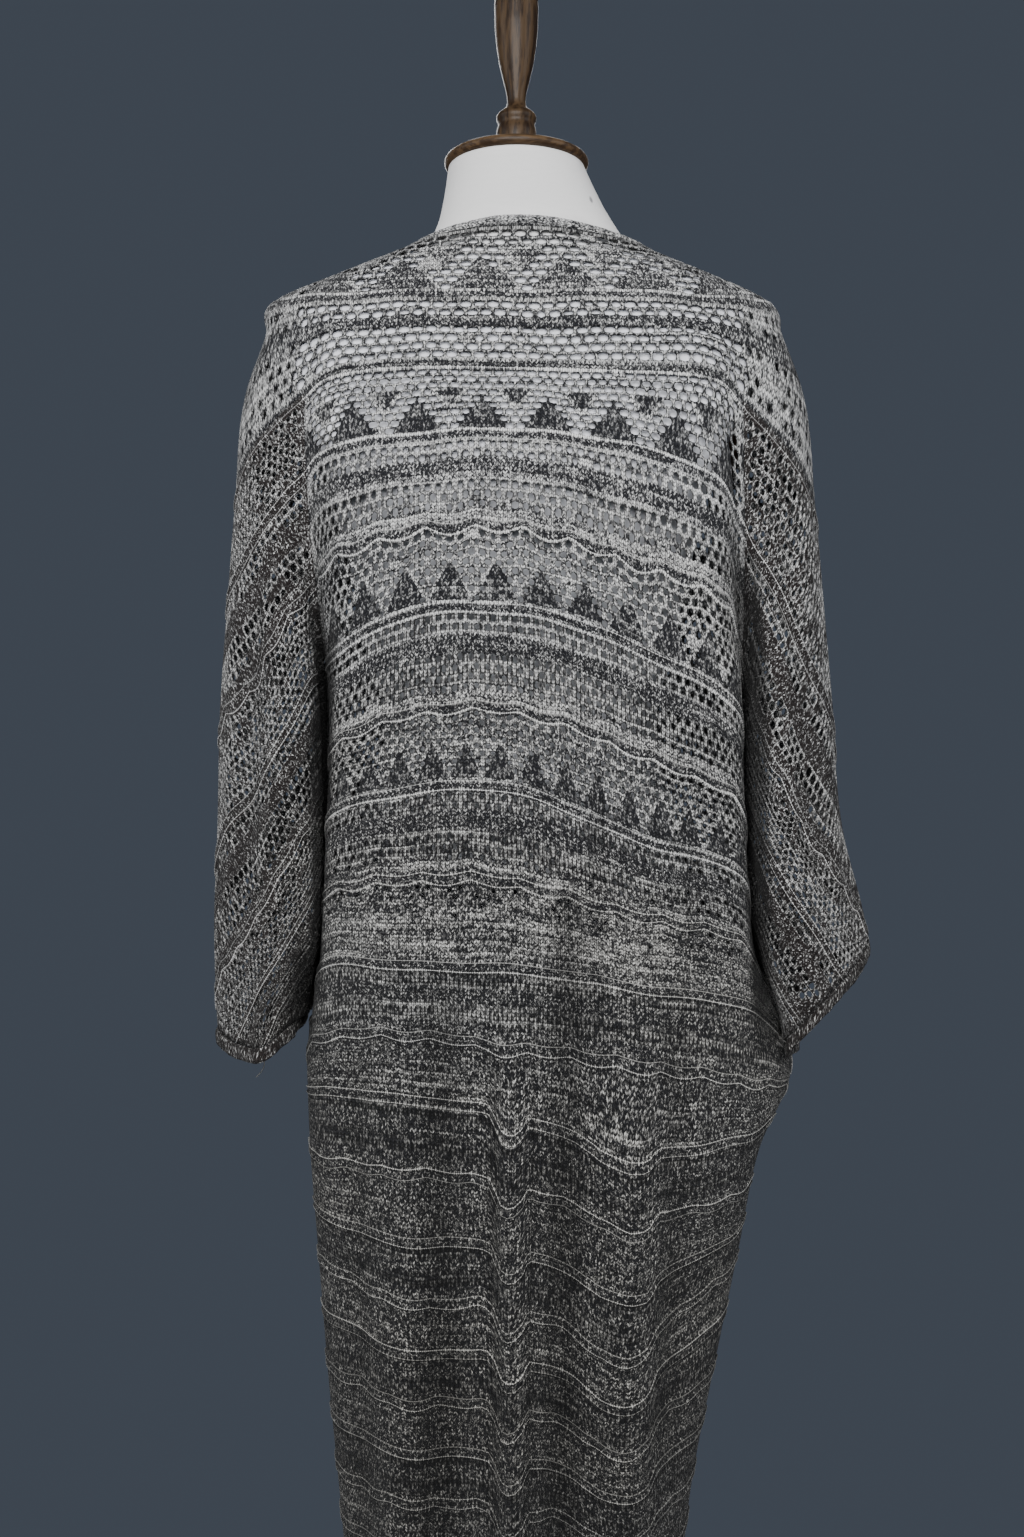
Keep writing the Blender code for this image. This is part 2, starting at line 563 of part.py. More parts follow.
def add_torso(collection, cutters, material):
    rings = [torso_ring(**dict(zip(TORSO_COLUMNS, row))) for row in TORSO]
    count = len(rings) * TORSO_SIDES
    faces = grid_faces(len(rings), TORSO_SIDES, 0, True, closed=True)
    faces.append(tuple(range(TORSO_SIDES))[::-1])
    faces.append(tuple(range(count - TORSO_SIDES, count)))
    mesh = mesh_of("form_torso", [point for ring in rings for point in ring], faces)
    torso = add_object("form_torso", mesh, collection, material)
    for side, sign in SIGN.items():
        mesh = bpy.data.meshes.new(f"armhole_cutter_{side}")
        work = bmesh.new()
        bmesh.ops.create_cube(work, size=1.0)
        work.to_mesh(mesh)
        work.free()
        cutter = add_object(mesh.name, mesh, cutters, material)
        cutter.scale = ARMHOLE_CUTTER
        cutter.location = (sign * (ARMHOLE_X + ARMHOLE_CUTTER[0] / 2), 0.0, SHOULDER_CAP["height"])
        cutter.hide_render = True
        cutter.display_type = "WIRE"
        cut = torso.modifiers.new(f"Armhole {side}", "BOOLEAN")
        cut.object = cutter
        cut.operation = "DIFFERENCE"
    return torso


def add_shoulder_cap(side, collection, material):
    """An oval wooden plate with a rounded rim, on the torso's flat armhole."""
    mesh = bpy.data.meshes.new(f"shoulder_cap_{side}")
    work = bmesh.new()
    bmesh.ops.create_cone(work, cap_ends=True, segments=32, radius1=1.0, radius2=1.0, depth=1.0)
    cap = SHOULDER_CAP
    bmesh.ops.scale(work, verts=work.verts, vec=(cap["half_tall"], cap["half_deep"], cap["thick"]))
    work.to_mesh(mesh)
    work.free()
    made = add_object(mesh.name, mesh, collection, material)
    made.rotation_euler = (0.0, math.radians(90.0), 0.0)
    made.location = (SIGN[side] * (ARMHOLE_X + GAP + cap["thick"] / 2), 0.0, cap["height"])
    bevel = made.modifiers.new("Rim", "BEVEL")
    bevel.width = SHOULDER_CAP["rim"]
    bevel.segments = 2
    return made


def add_pole(collection, material):
    low, high = BASE_TOP + GAP, TORSO[0][0] - GAP
    mesh = bpy.data.meshes.new("pole")
    work = bmesh.new()
    bmesh.ops.create_cone(
        work, cap_ends=True, segments=24, radius1=POLE_RADIUS, radius2=POLE_RADIUS, depth=high - low
    )
    work.to_mesh(mesh)
    work.free()
    made = add_object("pole", mesh, collection, material)
    made.location = (0.0, 0.0, (low + high) / 2)
    return made


def add_neck_wood(collection, material):
    """The neck cap and its finial, both square to the tilted top of the neck."""
    seat = bpy.data.objects.new("neck_seat", None)
    collection.objects.link(seat)
    seat.location = (NECK_SHIFT, 0.0, NECK_TOP)
    seat.rotation_euler = (NECK_TILT, 0.0, 0.0)
    cap = add_turned("neck_cap", NECK_CAP_PROFILE, collection, material)
    cap.location = (0.0, 0.0, GAP)
    finial = add_turned("finial", FINIAL_PROFILE, collection, material, steps=FINIAL_STEPS)
    finial.location = (0.0, 0.0, NECK_CAP_PROFILE[0][1] + 2 * GAP)
    for made in (cap, finial):
        made.parent = seat


def main():
    for found in list(bpy.data.objects):
        bpy.data.objects.remove(found)
    parts = collection_named("cardigan_on_dress_form")
    cutters = collection_named("cutters")
    knit = material_named("knit", **KNIT)
    linen = material_named("linen", **LINEN)
    wood = material_named("dark_wood", **DARK_WOOD)
    add_back(parts, knit)
    for side in SIGN:
        add_front(side, parts, knit)
        add_cuff(side, parts, knit)
        add_shoulder_cap(side, parts, wood)
    add_tube("edge_band", band_path(), BAND_RADIUS, parts, knit)
    add_torso(parts, cutters, linen)
    add_neck_wood(parts, wood)
    add_pole(parts, wood)
    add_turned("base", BASE_PROFILE, parts, wood)


main()
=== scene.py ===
"""Open-front lace cardigan on a limbless dress form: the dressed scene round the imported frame.

The knit is laid out in courses (rows, numbered by the raised welts they lie between) and wales
(columns). Every panel is a lattice of half cells on the cardigan's sections. A cell may hold an
eyelet, which is a real hole, and the welts are raised in the mesh. The shader adds the stitches and
the marled yarn.

A half section of the garment has stations at places 0 to 6: the centre back or the front edge,
middle, lip, fold (beside the sleeve), inner, crown and edge (the sleeve's seam). Lengths are in
metres, and a "left" is the wearer's.
"""

import json
import math

import bmesh
import bpy
import mathutils
import numpy as np
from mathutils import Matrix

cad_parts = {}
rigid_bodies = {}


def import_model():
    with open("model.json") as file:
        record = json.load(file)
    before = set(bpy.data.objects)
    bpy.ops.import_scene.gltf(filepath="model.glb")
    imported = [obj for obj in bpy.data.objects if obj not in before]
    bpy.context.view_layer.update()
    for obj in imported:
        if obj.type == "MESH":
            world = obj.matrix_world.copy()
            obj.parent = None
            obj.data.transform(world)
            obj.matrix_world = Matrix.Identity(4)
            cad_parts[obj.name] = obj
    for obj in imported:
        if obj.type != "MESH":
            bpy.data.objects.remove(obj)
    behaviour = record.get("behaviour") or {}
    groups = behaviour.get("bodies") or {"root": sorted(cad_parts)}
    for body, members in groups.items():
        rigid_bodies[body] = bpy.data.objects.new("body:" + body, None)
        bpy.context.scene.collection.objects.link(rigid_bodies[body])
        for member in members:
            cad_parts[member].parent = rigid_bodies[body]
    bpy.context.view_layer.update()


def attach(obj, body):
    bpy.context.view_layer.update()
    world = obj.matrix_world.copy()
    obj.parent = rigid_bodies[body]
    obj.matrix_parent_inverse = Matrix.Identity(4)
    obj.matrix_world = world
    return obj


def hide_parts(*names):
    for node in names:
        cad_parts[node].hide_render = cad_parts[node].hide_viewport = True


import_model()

# ---------------------------------------------------------------- the garment's and the form's sizes

SIGN = {"left": 1.0, "right": -1.0}
AWAY = {"back": 1.0, "front": -1.0}  # which way is outwards, along y
TINY = 1e-12
FOLD, EDGE = 3, 6
SEAM_HALF = 0.00015
CLOTH_THICK = 0.0013
GAP = 0.0003  # between the turned pieces

# Creases over the back, mirrored onto the fronts: each is a line of (height, x) from the top down, its half
# width, how far it stands out or sinks in, and how much painted shade it carries.
CREASES = (
    (((1.30, 0.150), (1.18, 0.152), (1.06, 0.146)), 0.011, -0.0045, 0.25),
    (((1.30, -0.162), (1.18, -0.168), (1.04, -0.166)), 0.012, -0.0050, 0.28),
    (((1.33, 0.095), (1.25, 0.112), (1.12, 0.124)), 0.020, 0.0022, 0.0),
    (((1.33, -0.090), (1.24, -0.118), (1.10, -0.132)), 0.022, 0.0024, 0.0),
    (((1.12, 0.1480), (1.06, 0.1535), (1.00, 0.1560), (0.93, 0.1580)), 0.0100, -0.0020, 0.88),
    (((0.97, 0.1600), (0.90, 0.1605), (0.80, 0.1600)), 0.0050, -0.0010, 0.80),
    (((0.86, 0.168), (0.81, 0.173), (0.752, 0.177)), 0.0110, -0.0015, 0.85),
    (((1.18, -0.175), (1.08, -0.184), (0.92, -0.186), (0.80, -0.190), (0.745, -0.197)),
     0.0092, -0.0020, 0.90),
    (((1.00, -0.056), (0.95, -0.059), (0.84, -0.060), (0.76, -0.056)), 0.0080, -0.0045, 0.22),
    (((0.92, -0.036), (0.82, -0.037), (0.60, -0.034), (0.24, -0.030)), 0.0150, -0.0050, 0.52),
    (((0.84, 0.064), (0.70, 0.062), (0.50, 0.062), (0.24, 0.068)), 0.0170, -0.0050, 0.46),
    (((0.78, 0.0195), (0.55, 0.0200), (0.24, 0.0220)), 0.0045, -0.0030, 0.45),
    (((0.80, -0.0100), (0.55, -0.0080), (0.24, -0.0060)), 0.0040, -0.0025, 0.35),
    (((0.96, -0.090), (0.75, -0.090), (0.50, -0.088), (0.24, -0.082)), 0.013, 0.0030, 0.0),
    (((0.84, -0.118), (0.66, -0.122), (0.42, -0.112)), 0.012, -0.0040, 0.34),
    (((0.80, 0.128), (0.60, 0.126), (0.34, 0.122)), 0.010, -0.0032, 0.25),
    (((1.00, 0.108), (0.90, 0.114), (0.78, 0.118)), 0.018, 0.0024, 0.0),
    (((1.02, -0.126), (0.92, -0.134), (0.80, -0.134)), 0.012, -0.0034, 0.14),
    (((1.12, 0.030), (1.00, 0.022), (0.86, 0.018)), 0.030, 0.0022, 0.0),
    (((1.20, 0.202), (1.05, 0.210), (0.88, 0.214)), 0.009, -0.0034, 0.20),
    (((1.14, 0.226), (1.00, 0.230), (0.84, 0.230)), 0.008, 0.0026, 0.0),
    (((1.22, -0.202), (1.05, -0.214), (0.88, -0.224)), 0.010, -0.0036, 0.20),
    (((1.08, -0.230), (0.95, -0.246), (0.84, -0.250)), 0.010, 0.0030, 0.0),
)
# How far the courses of the skirt hang down across its narrow pleat and the slack beside it, by x.
HANG_X = (
    -0.160, -0.130, -0.106, -0.098, -0.085, -0.062, -0.044, -0.020, -0.0055,
    -0.002, 0.0025, 0.0085, 0.0145, 0.019, 0.0235, 0.030, 0.110, 0.160,
)
HANG_DROP = (
    0.0, 0.003, 0.005, 0.017, 0.019, 0.016, 0.009, 0.005, 0.004,
    0.0115, 0.0195, 0.0225, 0.0195, 0.0115, 0.0, -0.002, -0.002, 0.0,
)
FOLD_SINK = 0.004  # how much deeper the knit lies in the fold between sleeve and body
CREASE_FADE_SHARE, CREASE_FADE = 0.25, 0.06  # over which a crease starts, of its length and at most
CREASE_TO_HEM = 0.3  # a crease that reaches lower than this runs on to the hem

# Sections of the inner face of the garment, from the neck to the hem, one table for each side: the
# height, x and y of the lip, fold, inner and crown stations, and the edge's x. Under the sleeve the
# last five stand for nothing and stay as they are.
LEFT_BELOW = (0.186, 0.060, 0.208, 0.078, 0.240)
RIGHT_BELOW = (0.211, 0.079, 0.243, 0.090, 0.286)
LEFT_SECTIONS = (
    (1.430, 0.026, 0.052, 0.031, 0.048, 0.035, 0.040, 0.039, 0.022, 0.041),
    (1.413, 0.054, 0.057, 0.063, 0.050, 0.070, 0.040, 0.078, 0.022, 0.082),
    (1.400, 0.079, 0.064, 0.091, 0.055, 0.101, 0.044, 0.112, 0.025, 0.117),
    (1.385, 0.106, 0.070, 0.122, 0.060, 0.135, 0.048, 0.149, 0.028, 0.156),
    (1.367, 0.130, 0.080, 0.150, 0.070, 0.168, 0.056, 0.190, 0.032, 0.201),
    (1.340, 0.138, 0.094, 0.160, 0.083, 0.180, 0.067, 0.199, 0.040, 0.206),
    (1.300, 0.143, 0.105, 0.166, 0.091, 0.186, 0.076, 0.210, 0.046, 0.221),
    (1.200, 0.147, 0.107, 0.166, 0.084, 0.184, 0.084, 0.214, 0.064, 0.232),
    (1.110, 0.146, 0.101, 0.160, 0.062, 0.177, 0.084, 0.208, 0.080, 0.239),
    (1.040, 0.143, 0.093, 0.156, 0.036, 0.166, 0.086, 0.198, 0.091, 0.244),
    (0.950, 0.145, 0.087, 0.156, 0.022, 0.166, 0.085, 0.200, 0.095, 0.246),
    (0.850, 0.151, 0.080, 0.159, 0.019, 0.167, 0.081, 0.203, 0.092, 0.249),
    (0.790, 0.158, 0.072, 0.169, 0.000, 0.182, 0.066, 0.207, 0.082, 0.247),
    (0.700, 0.156, 0.068, 0.170, 0.000, *LEFT_BELOW),
    (0.600, 0.149, 0.064, 0.163, 0.000, *LEFT_BELOW),
    (0.500, 0.142, 0.060, 0.155, 0.000, *LEFT_BELOW),
    (0.360, 0.130, 0.056, 0.142, 0.000, *LEFT_BELOW),
    (0.230, 0.122, 0.052, 0.134, 0.000, *LEFT_BELOW),
)
RIGHT_SECTIONS = (
    (1.430, 0.040, 0.052, 0.045, 0.047, 0.050, 0.038, 0.053, 0.022, 0.055),
    (1.410, 0.066, 0.059, 0.077, 0.051, 0.086, 0.040, 0.095, 0.022, 0.100),
    (1.398, 0.088, 0.065, 0.102, 0.056, 0.113, 0.044, 0.124, 0.025, 0.130),
    (1.385, 0.110, 0.070, 0.126, 0.060, 0.140, 0.048, 0.155, 0.028, 0.162),
    (1.367, 0.132, 0.080, 0.152, 0.070, 0.170, 0.056, 0.192, 0.032, 0.203),
    (1.340, 0.140, 0.094, 0.163, 0.083, 0.184, 0.067, 0.204, 0.040, 0.213),
    (1.300, 0.147, 0.105, 0.170, 0.091, 0.192, 0.076, 0.217, 0.046, 0.228),
    (1.200, 0.156, 0.107, 0.175, 0.084, 0.193, 0.084, 0.222, 0.064, 0.240),
    (1.110, 0.162, 0.101, 0.177, 0.060, 0.193, 0.084, 0.222, 0.080, 0.248),
    (1.040, 0.165, 0.093, 0.178, 0.036, 0.187, 0.086, 0.220, 0.090, 0.254),
    (0.950, 0.170, 0.086, 0.180, 0.022, 0.190, 0.084, 0.224, 0.094, 0.260),
    (0.850, 0.177, 0.080, 0.187, 0.019, 0.197, 0.080, 0.236, 0.092, 0.283),
    (0.770, 0.186, 0.070, 0.219, 0.000, *RIGHT_BELOW),
    (0.740, 0.185, 0.068, 0.220, 0.000, *RIGHT_BELOW),
    (0.680, 0.174, 0.065, 0.194, 0.000, *RIGHT_BELOW),
    (0.600, 0.160, 0.062, 0.177, 0.000, *RIGHT_BELOW),
    (0.500, 0.142, 0.058, 0.156, 0.000, *RIGHT_BELOW),
    (0.420, 0.128, 0.056, 0.140, 0.000, *RIGHT_BELOW),
    (0.230, 0.112, 0.050, 0.122, 0.000, *RIGHT_BELOW),
)
SECTIONS = {"left": LEFT_SECTIONS, "right": RIGHT_SECTIONS}

# Depth of the garment behind the centre line, by height, and where each front edge hangs: height, x
# on the left and on the right, and depth
BACK_DEPTH = (
    (1.430, 0.059), (1.413, 0.068), (1.385, 0.084), (1.367, 0.096), (1.340, 0.108), (1.300, 0.118),
    (1.200, 0.128), (1.040, 0.129), (0.850, 0.130), (0.700, 0.124), (0.500, 0.116), (0.230, 0.110),
)
FRONT_EDGES = (
    (1.430, 0.078, 0.092, 0.002),
    (1.405, 0.088, 0.104, 0.012),
    (1.395, 0.084, 0.098, 0.036),
    (1.380, 0.081, 0.090, 0.056),
    (1.360, 0.078, 0.082, 0.075),
    (1.300, 0.072, 0.073, 0.113),
    (1.200, 0.066, 0.066, 0.138),
    (1.040, 0.061, 0.061, 0.138),
    (0.850, 0.058, 0.058, 0.135),
    (0.500, 0.054, 0.054, 0.122),
    (0.230, 0.050, 0.050, 0.115),
)
MIDDLE_ACROSS, MIDDLE_FALL = 0.55, 0.19  # the back's middle station, as shares of the way to the lip
FRONT_SHARE = 0.92  # the front stations lie this much as deep as those of the back
FRONT_FULLNESS = 0.006  # the front's middle station stands this far before a straight line
YOKE_LOW, YOKE_HIGH = 1.30, 1.36  # the front section eases into a plain arc between these heights
YOKE_CORNER = 0.75  # share of the front's width at which that arc turns to the seam
FRONT_COLUMN = {"left": 1, "right": 2}
SHOULDER_SLOPE = 0.44
NECK_END = 5.2  # place on the back's top row where the band turns to the front

HEM_HEIGHT = 0.24
# Height of each welt (the raised double ridge) at the stations it passes, one row for each welt.
WELT_COLUMNS = ("welt", "left_edge", "left_inner", "left_lip", "left_middle", "centre",
                "right_middle", "right_lip", "right_inner", "right_edge")
WELTS = (
    (0, 1.409, 1.411, 1.414, 1.417, 1.418, 1.416, 1.411, 1.408, 1.406),
    (1, 1.358, 1.357, 1.355, 1.355, 1.355, 1.355, 1.353, 1.355, 1.360),
    (2, 1.205, 1.265, 1.294, 1.299, 1.298, 1.296, 1.293, 1.255, 1.190),
    (3, 1.115, 1.200, 1.232, 1.242, 1.243, 1.231, 1.203, 1.141, 1.000),
    (4, 1.010, 1.116, 1.151, 1.172, 1.172, 1.146, 1.117, 1.018, 0.842),
    (5, 0.905, 1.050, 1.078, 1.108, 1.108, 1.078, 1.039, 0.927, 0.760),
    (6, 0.795, 0.948, 1.010, 1.031, 1.032, 0.999, 0.965, 0.815, 0.680),
    (7, 0.715, 0.887, 0.956, 0.971, 0.970, 0.932, 0.906, 0.755, 0.620),
    (8, 0.650, 0.824, 0.892, 0.903, 0.898, 0.874, 0.849, 0.690, 0.560),
    (9, 0.590, 0.760, 0.834, 0.836, 0.833, 0.819, 0.797, 0.640, 0.500),
    (10, 0.530, 0.700, 0.775, 0.782, 0.774, 0.760, 0.738, 0.590, 0.450),
    (11, 0.480, 0.650, 0.733, 0.729, 0.723, 0.697, 0.694, 0.550, 0.400),
    (12, 0.440, 0.610, 0.678, 0.672, 0.669, 0.647, 0.647, 0.510, 0.350),
    (14, 0.360, 0.530, 0.591, 0.573, 0.575, 0.551, 0.583, 0.430, 0.260),
    (16, 0.280, 0.450, 0.507, 0.496, 0.497, 0.478, 0.498, 0.350, 0.180),
    (18, 0.200, 0.370, 0.425, 0.417, 0.418, 0.406, 0.416, 0.270, 0.100),
    (22.6, 0.020, 0.190, HEM_HEIGHT, HEM_HEIGHT, HEM_HEIGHT, HEM_HEIGHT, HEM_HEIGHT, 0.090, -0.080),
)
LAST_WELT = WELTS[-1][0]
YOKE_WELT = 2.0  # where the yoke ends and the sleeves part from the back and the fronts
SPLIT_WELT = 9.5  # where the back and the fronts change to the skirt's closer knit
UNDERARM_WELT = {"left": 9.15, "right": 8.0}
LEVEL_BELOW = 3.0  # welts below the underarm over which the side seam's rows come level with the lip's
FRONT_TOP, FRONT_DROP = 1.405, 0.045  # height of the front edge's upper end, and its fall over a welt
BACK_KNOTS = np.array((-6, -4, -3, -2, -1, 0, 1, 2, 3, 4, 6), float)
FRONT_KNOTS = BACK_KNOTS[5:]

# Upright pleats in the skirt: x, half width, depth at the hem and height of the top
PLEATS = (
    (0.098, 0.026, 0.014, 0.74),
    (0.050, 0.020, -0.010, 0.72),
    (0.004, 0.014, 0.014, 0.80),
    (-0.034, 0.018, -0.011, 0.74),
    (-0.090, 0.026, 0.016, 0.78),
    (-0.058, 0.007, -0.004, 0.96),
)
PLEAT_EASE = 0.30  # height over which a pleat grows to its full depth
PLEAT_FADE = 2.3  # place from which the pleats die away towards the fold

# Height of the lower edge of each sleeve at the stations from the fold to the seam.
CUFF_STATIONS = (3, 4, 5, 6)
CUFF_HEIGHTS = {
    "left": (0.790, 0.785, 0.768, 0.777),
    "right": (0.768, 0.776, 0.811, 0.853),
}
CUFF_NEAR, CUFF_FREE = 3.1, 4.2  # between these places the cuff band eases away from the side seam
CUFF_CLEAR = 0.008  # how far it does
CUFF_SEAT, CUFF_SWELL = 0.0003, 0.0021  # the band's drop below the knit, and the swell of its profile
# Profile of the band: distance down and swell
CUFF_PROFILE = (
    (0.0006, 0.0), (0.0, 0.5), (0.0015, 1.0), (0.0045, 1.35), (0.0080, 1.35), (0.0110, 1.0),
    (0.0125, 0.5), (0.0122, 0.0), (0.0110, -0.35), (0.0060, -0.25), (0.0015, -0.2),
)
# The loose end of yarn under the left cuff, as (x, height)
YARN_END = (
    (0.2168, 0.7690), (0.2150, 0.7600), (0.2090, 0.7535), (0.2078, 0.7460), (0.2108, 0.7400),
    (0.2150, 0.7362),
)
YARN_END_Y, YARN_RADIUS, YARN_SIDES, YARN_STEP = 0.012, 0.00045, 6, 0.0012

BAND_RADIUS, BAND_SIDES, BAND_STEP = 0.004, 14, 0.0022
BAND_CLEAR = 0.0003  # between the band and the knit
CORNER_CLEAR = 0.0010  # more of it where the front edge turns into the neck

# Rings of the dress form's torso: height, half width, depth behind and before, and how square it is
TORSO = (
    (0.720, 0.128, 0.096, 0.086, 2.2),
    (0.760, 0.138, 0.108, 0.094, 2.2),
    (0.850, 0.142, 0.112, 0.098, 2.2),
    (0.930, 0.130, 0.100, 0.092, 2.2),
    (1.020, 0.112, 0.082, 0.084, 2.2),
    (1.090, 0.126, 0.088, 0.098, 2.2),
    (1.160, 0.142, 0.098, 0.122, 2.3),
    (1.230, 0.158, 0.106, 0.116, 2.4),
    (1.290, 0.178, 0.105, 0.094, 2.4),
    (1.334, 0.192, 0.098, 0.074, 2.3),
    (1.368, 0.190, 0.084, 0.056, 2.1),
    (1.3845, 0.156, 0.076, 0.048, 2.0),
    (1.396, 0.114, 0.068, 0.037, 2.0),
    (1.3995, 0.088, 0.061, 0.037, 2.0),
    (1.409, 0.073, 0.055, 0.041, 2.0),
    (1.426, 0.069, 0.052, 0.046, 2.0),
    (1.446, 0.063, 0.053, 0.051, 2.0),
    (1.4785, 0.0565, 0.0555, 0.0555, 2.0),
)
# Half widths of the form's shoulders and neck: height, left, right
FORM_NECK = (
    (1.368, 0.190, 0.190),
    (1.3845, 0.153, 0.156),
    (1.392, 0.134, 0.141),
    (1.398, 0.117, 0.128),
    (1.404, 0.100, 0.113),
    (1.410, 0.085, 0.099),
    (1.418, 0.0755, 0.0885),
    (1.426, 0.0705, 0.0825),
    (1.436, 0.0660, 0.0765),
    (1.446, 0.0630, 0.0710),
    (1.456, 0.0605, 0.0665),
    (1.466, 0.0585, 0.0620),
    (1.4785, 0.0565, 0.0565),
)
FORM_SIDES = 160
FORM_INSET = 0.0009
FORM_CLEAR = 0.0036  # between the form and the inside of the knit over the shoulder blades
FORM_WIDER, FORM_WIDEST = 0.14, 0.184  # how much wider it is behind the caps, and its half width there
FORM_FULLER = 0.030  # most that it stands fuller there than the frame's rings
NO_LIMIT = 1.0
ARMHOLE_X, ARMHOLE_TOP = 0.165, 1.346  # flat sides of the torso under the shoulder caps
NECK_TILT = math.radians(6.0)  # the top of the neck leans forward
NECK_FOOT, NECK_TOP = TORSO[-4][0], TORSO[-1][0]
NECK_SHIFT = 0.003  # sideways lean of the neck
FORM_MARK = (-0.0572, 1.4466)  # x and height of a small dark spot on the back of the neck

# Turned profiles as (radius, height) from the top down
NECK_CAP_PROFILE = (
    (0.0175, 0.0090), (0.0545, 0.0090), (0.0585, 0.0075), (0.0593, 0.0045), (0.0585, 0.0015), (0.0565, 0.0)
)
FINIAL_PROFILE = (
    (0.0050, 0.1660), (0.0105, 0.1635), (0.0150, 0.1560), (0.0175, 0.1440), (0.0182, 0.1290),
    (0.0178, 0.1100), (0.0165, 0.0950), (0.0140, 0.0790), (0.0110, 0.0660), (0.0085, 0.0560),
    (0.0074, 0.0490), (0.0080, 0.0430), (0.0115, 0.0395), (0.0158, 0.0370), (0.0170, 0.0335),
    (0.0158, 0.0300), (0.0140, 0.0285), (0.0150, 0.0265), (0.0165, 0.0230), (0.0165, 0.0060),
    (0.0172, 0.0),
)
BASE_PROFILE = (
    (0.0260, 0.0620), (0.0300, 0.0600), (0.0320, 0.0540), (0.0340, 0.0460), (0.0480, 0.0380),
    (0.1000, 0.0300), (0.1600, 0.0240), (0.1760, 0.0200), (0.1800, 0.0140), (0.1800, 0.0040),
    (0.1770, 0.0),
)
TURNED_STEP = 0.003  # longest step along a turned profile

FLOOR_RADIUS = 1.06
CAMERA_AT = (0.0066, 1.9, 0.9875)
CAMERA_LENS = 54.3
# Soft lights: place, aim, size and power
LIGHTS = {
    "key": ((0.2, 2.9, 2.05), (0, 0.1, 1.25), (2.6, 1.9), 165),
    "side": ((-2.4, 1.0, 2.0), (0, 0, 1.0), (1.4, 1.8), 22),
    "other_side": ((2.4, 0.6, 1.8), (0, 0, 1.0), (1.4, 1.8), 18),
    "front": ((0.4, -2.8, 2.3), (0, 0, 1.0), (2.2, 1.6), 90),
}

# ---------------------------------------------------------------- surface of the cloth


def hermite(x, knots, values):
    """A smooth curve through values at increasing knots, level beyond its ends."""
    knots, values = np.asarray(knots, float), np.asarray(values, float)
    slopes = np.gradient(values, knots)
    x = np.clip(x, knots[0], knots[-1])
    i = np.clip(np.searchsorted(knots, x) - 1, 0, len(knots) - 2)
    width = knots[i + 1] - knots[i]
    t = (x - knots[i]) / width
    return (
        (1 + 2 * t) * (1 - t) ** 2 * values[i] + t * (1 - t) ** 2 * width * slopes[i]
        + t * t * (3 - 2 * t) * values[i + 1] - t * t * (1 - t) * width * slopes[i + 1]
    )


def spread(knots, values, x):
    """hermite for many rows at once: values (R, K) at knots (K,), read at x (P,)."""
    slopes = np.gradient(values, knots, axis=1)
    i = np.clip(np.searchsorted(knots, x) - 1, 0, len(knots) - 2)
    width = (knots[i + 1] - knots[i])[None, :]
    t = (np.clip(x, knots[0], knots[-1]) - knots[i])[None, :] / width
    return (
        (1 + 2 * t) * (1 - t) ** 2 * values[:, i] + t * (1 - t) ** 2 * (slopes[:, i] * width)
        + t * t * (3 - 2 * t) * values[:, i + 1] - t * t * (1 - t) * (slopes[:, i + 1] * width)
    )


def by_height(rows, column, height):
    """One column of a table that has heights in its first column, from the top down."""
    table = np.array(rows[::-1])
    return hermite(height, table[:, 0], table[:, column])


def across_welt(welt, name):
    """The height of a welt number at one column of the welt table."""
    table = np.array(WELTS)
    return hermite(welt, table[:, 0], table[:, WELT_COLUMNS.index(name)])


def smooth_step(low, high, x):
    t = np.clip((x - low) / (high - low), 0.0, 1.0)
    return t * t * (3 - 2 * t)


def unit(vectors):
    return vectors / (np.linalg.norm(vectors, axis=-1, keepdims=True) + TINY)


def lengths(path):
    """Distance along a path, or along each of many, from its first point."""
    steps = np.cumsum(np.linalg.norm(np.diff(path, axis=-2), axis=-1), axis=-1)
    return np.concatenate([np.zeros_like(steps[..., :1]), steps], axis=-1)


def sample(s, arc, values):
    """Values (P, 3) known at distances arc, read at distances s."""
    return np.stack([np.interp(s, arc, values[:, c]) for c in range(3)], axis=1)


def side_stations(side, height):
    """Arrays (M, 2) of the lip, fold, inner, crown and edge stations at many heights."""
    read = [by_height(SECTIONS[side], column, height) for column in range(1, 10)]
    found = [np.stack([x, np.maximum(y, 0.0)], axis=-1) for x, y in zip(read[:8:2], read[1:8:2])]
    return found + [np.stack([read[8], 0 * read[8]], axis=-1)]


def front_edge(side, height):
    across, depth = (by_height(FRONT_EDGES, column, height) for column in (FRONT_COLUMN[side], 3))
    return np.stack([across, -depth], axis=-1)


def pleat_depth(across, height):
    pushed = 0.0
    for middle, half_width, depth, top in PLEATS:
        off = (across - middle) / half_width
        pushed = pushed + depth * smooth_step(0.0, PLEAT_EASE, top - height) * np.exp(-off * off)
    return pushed


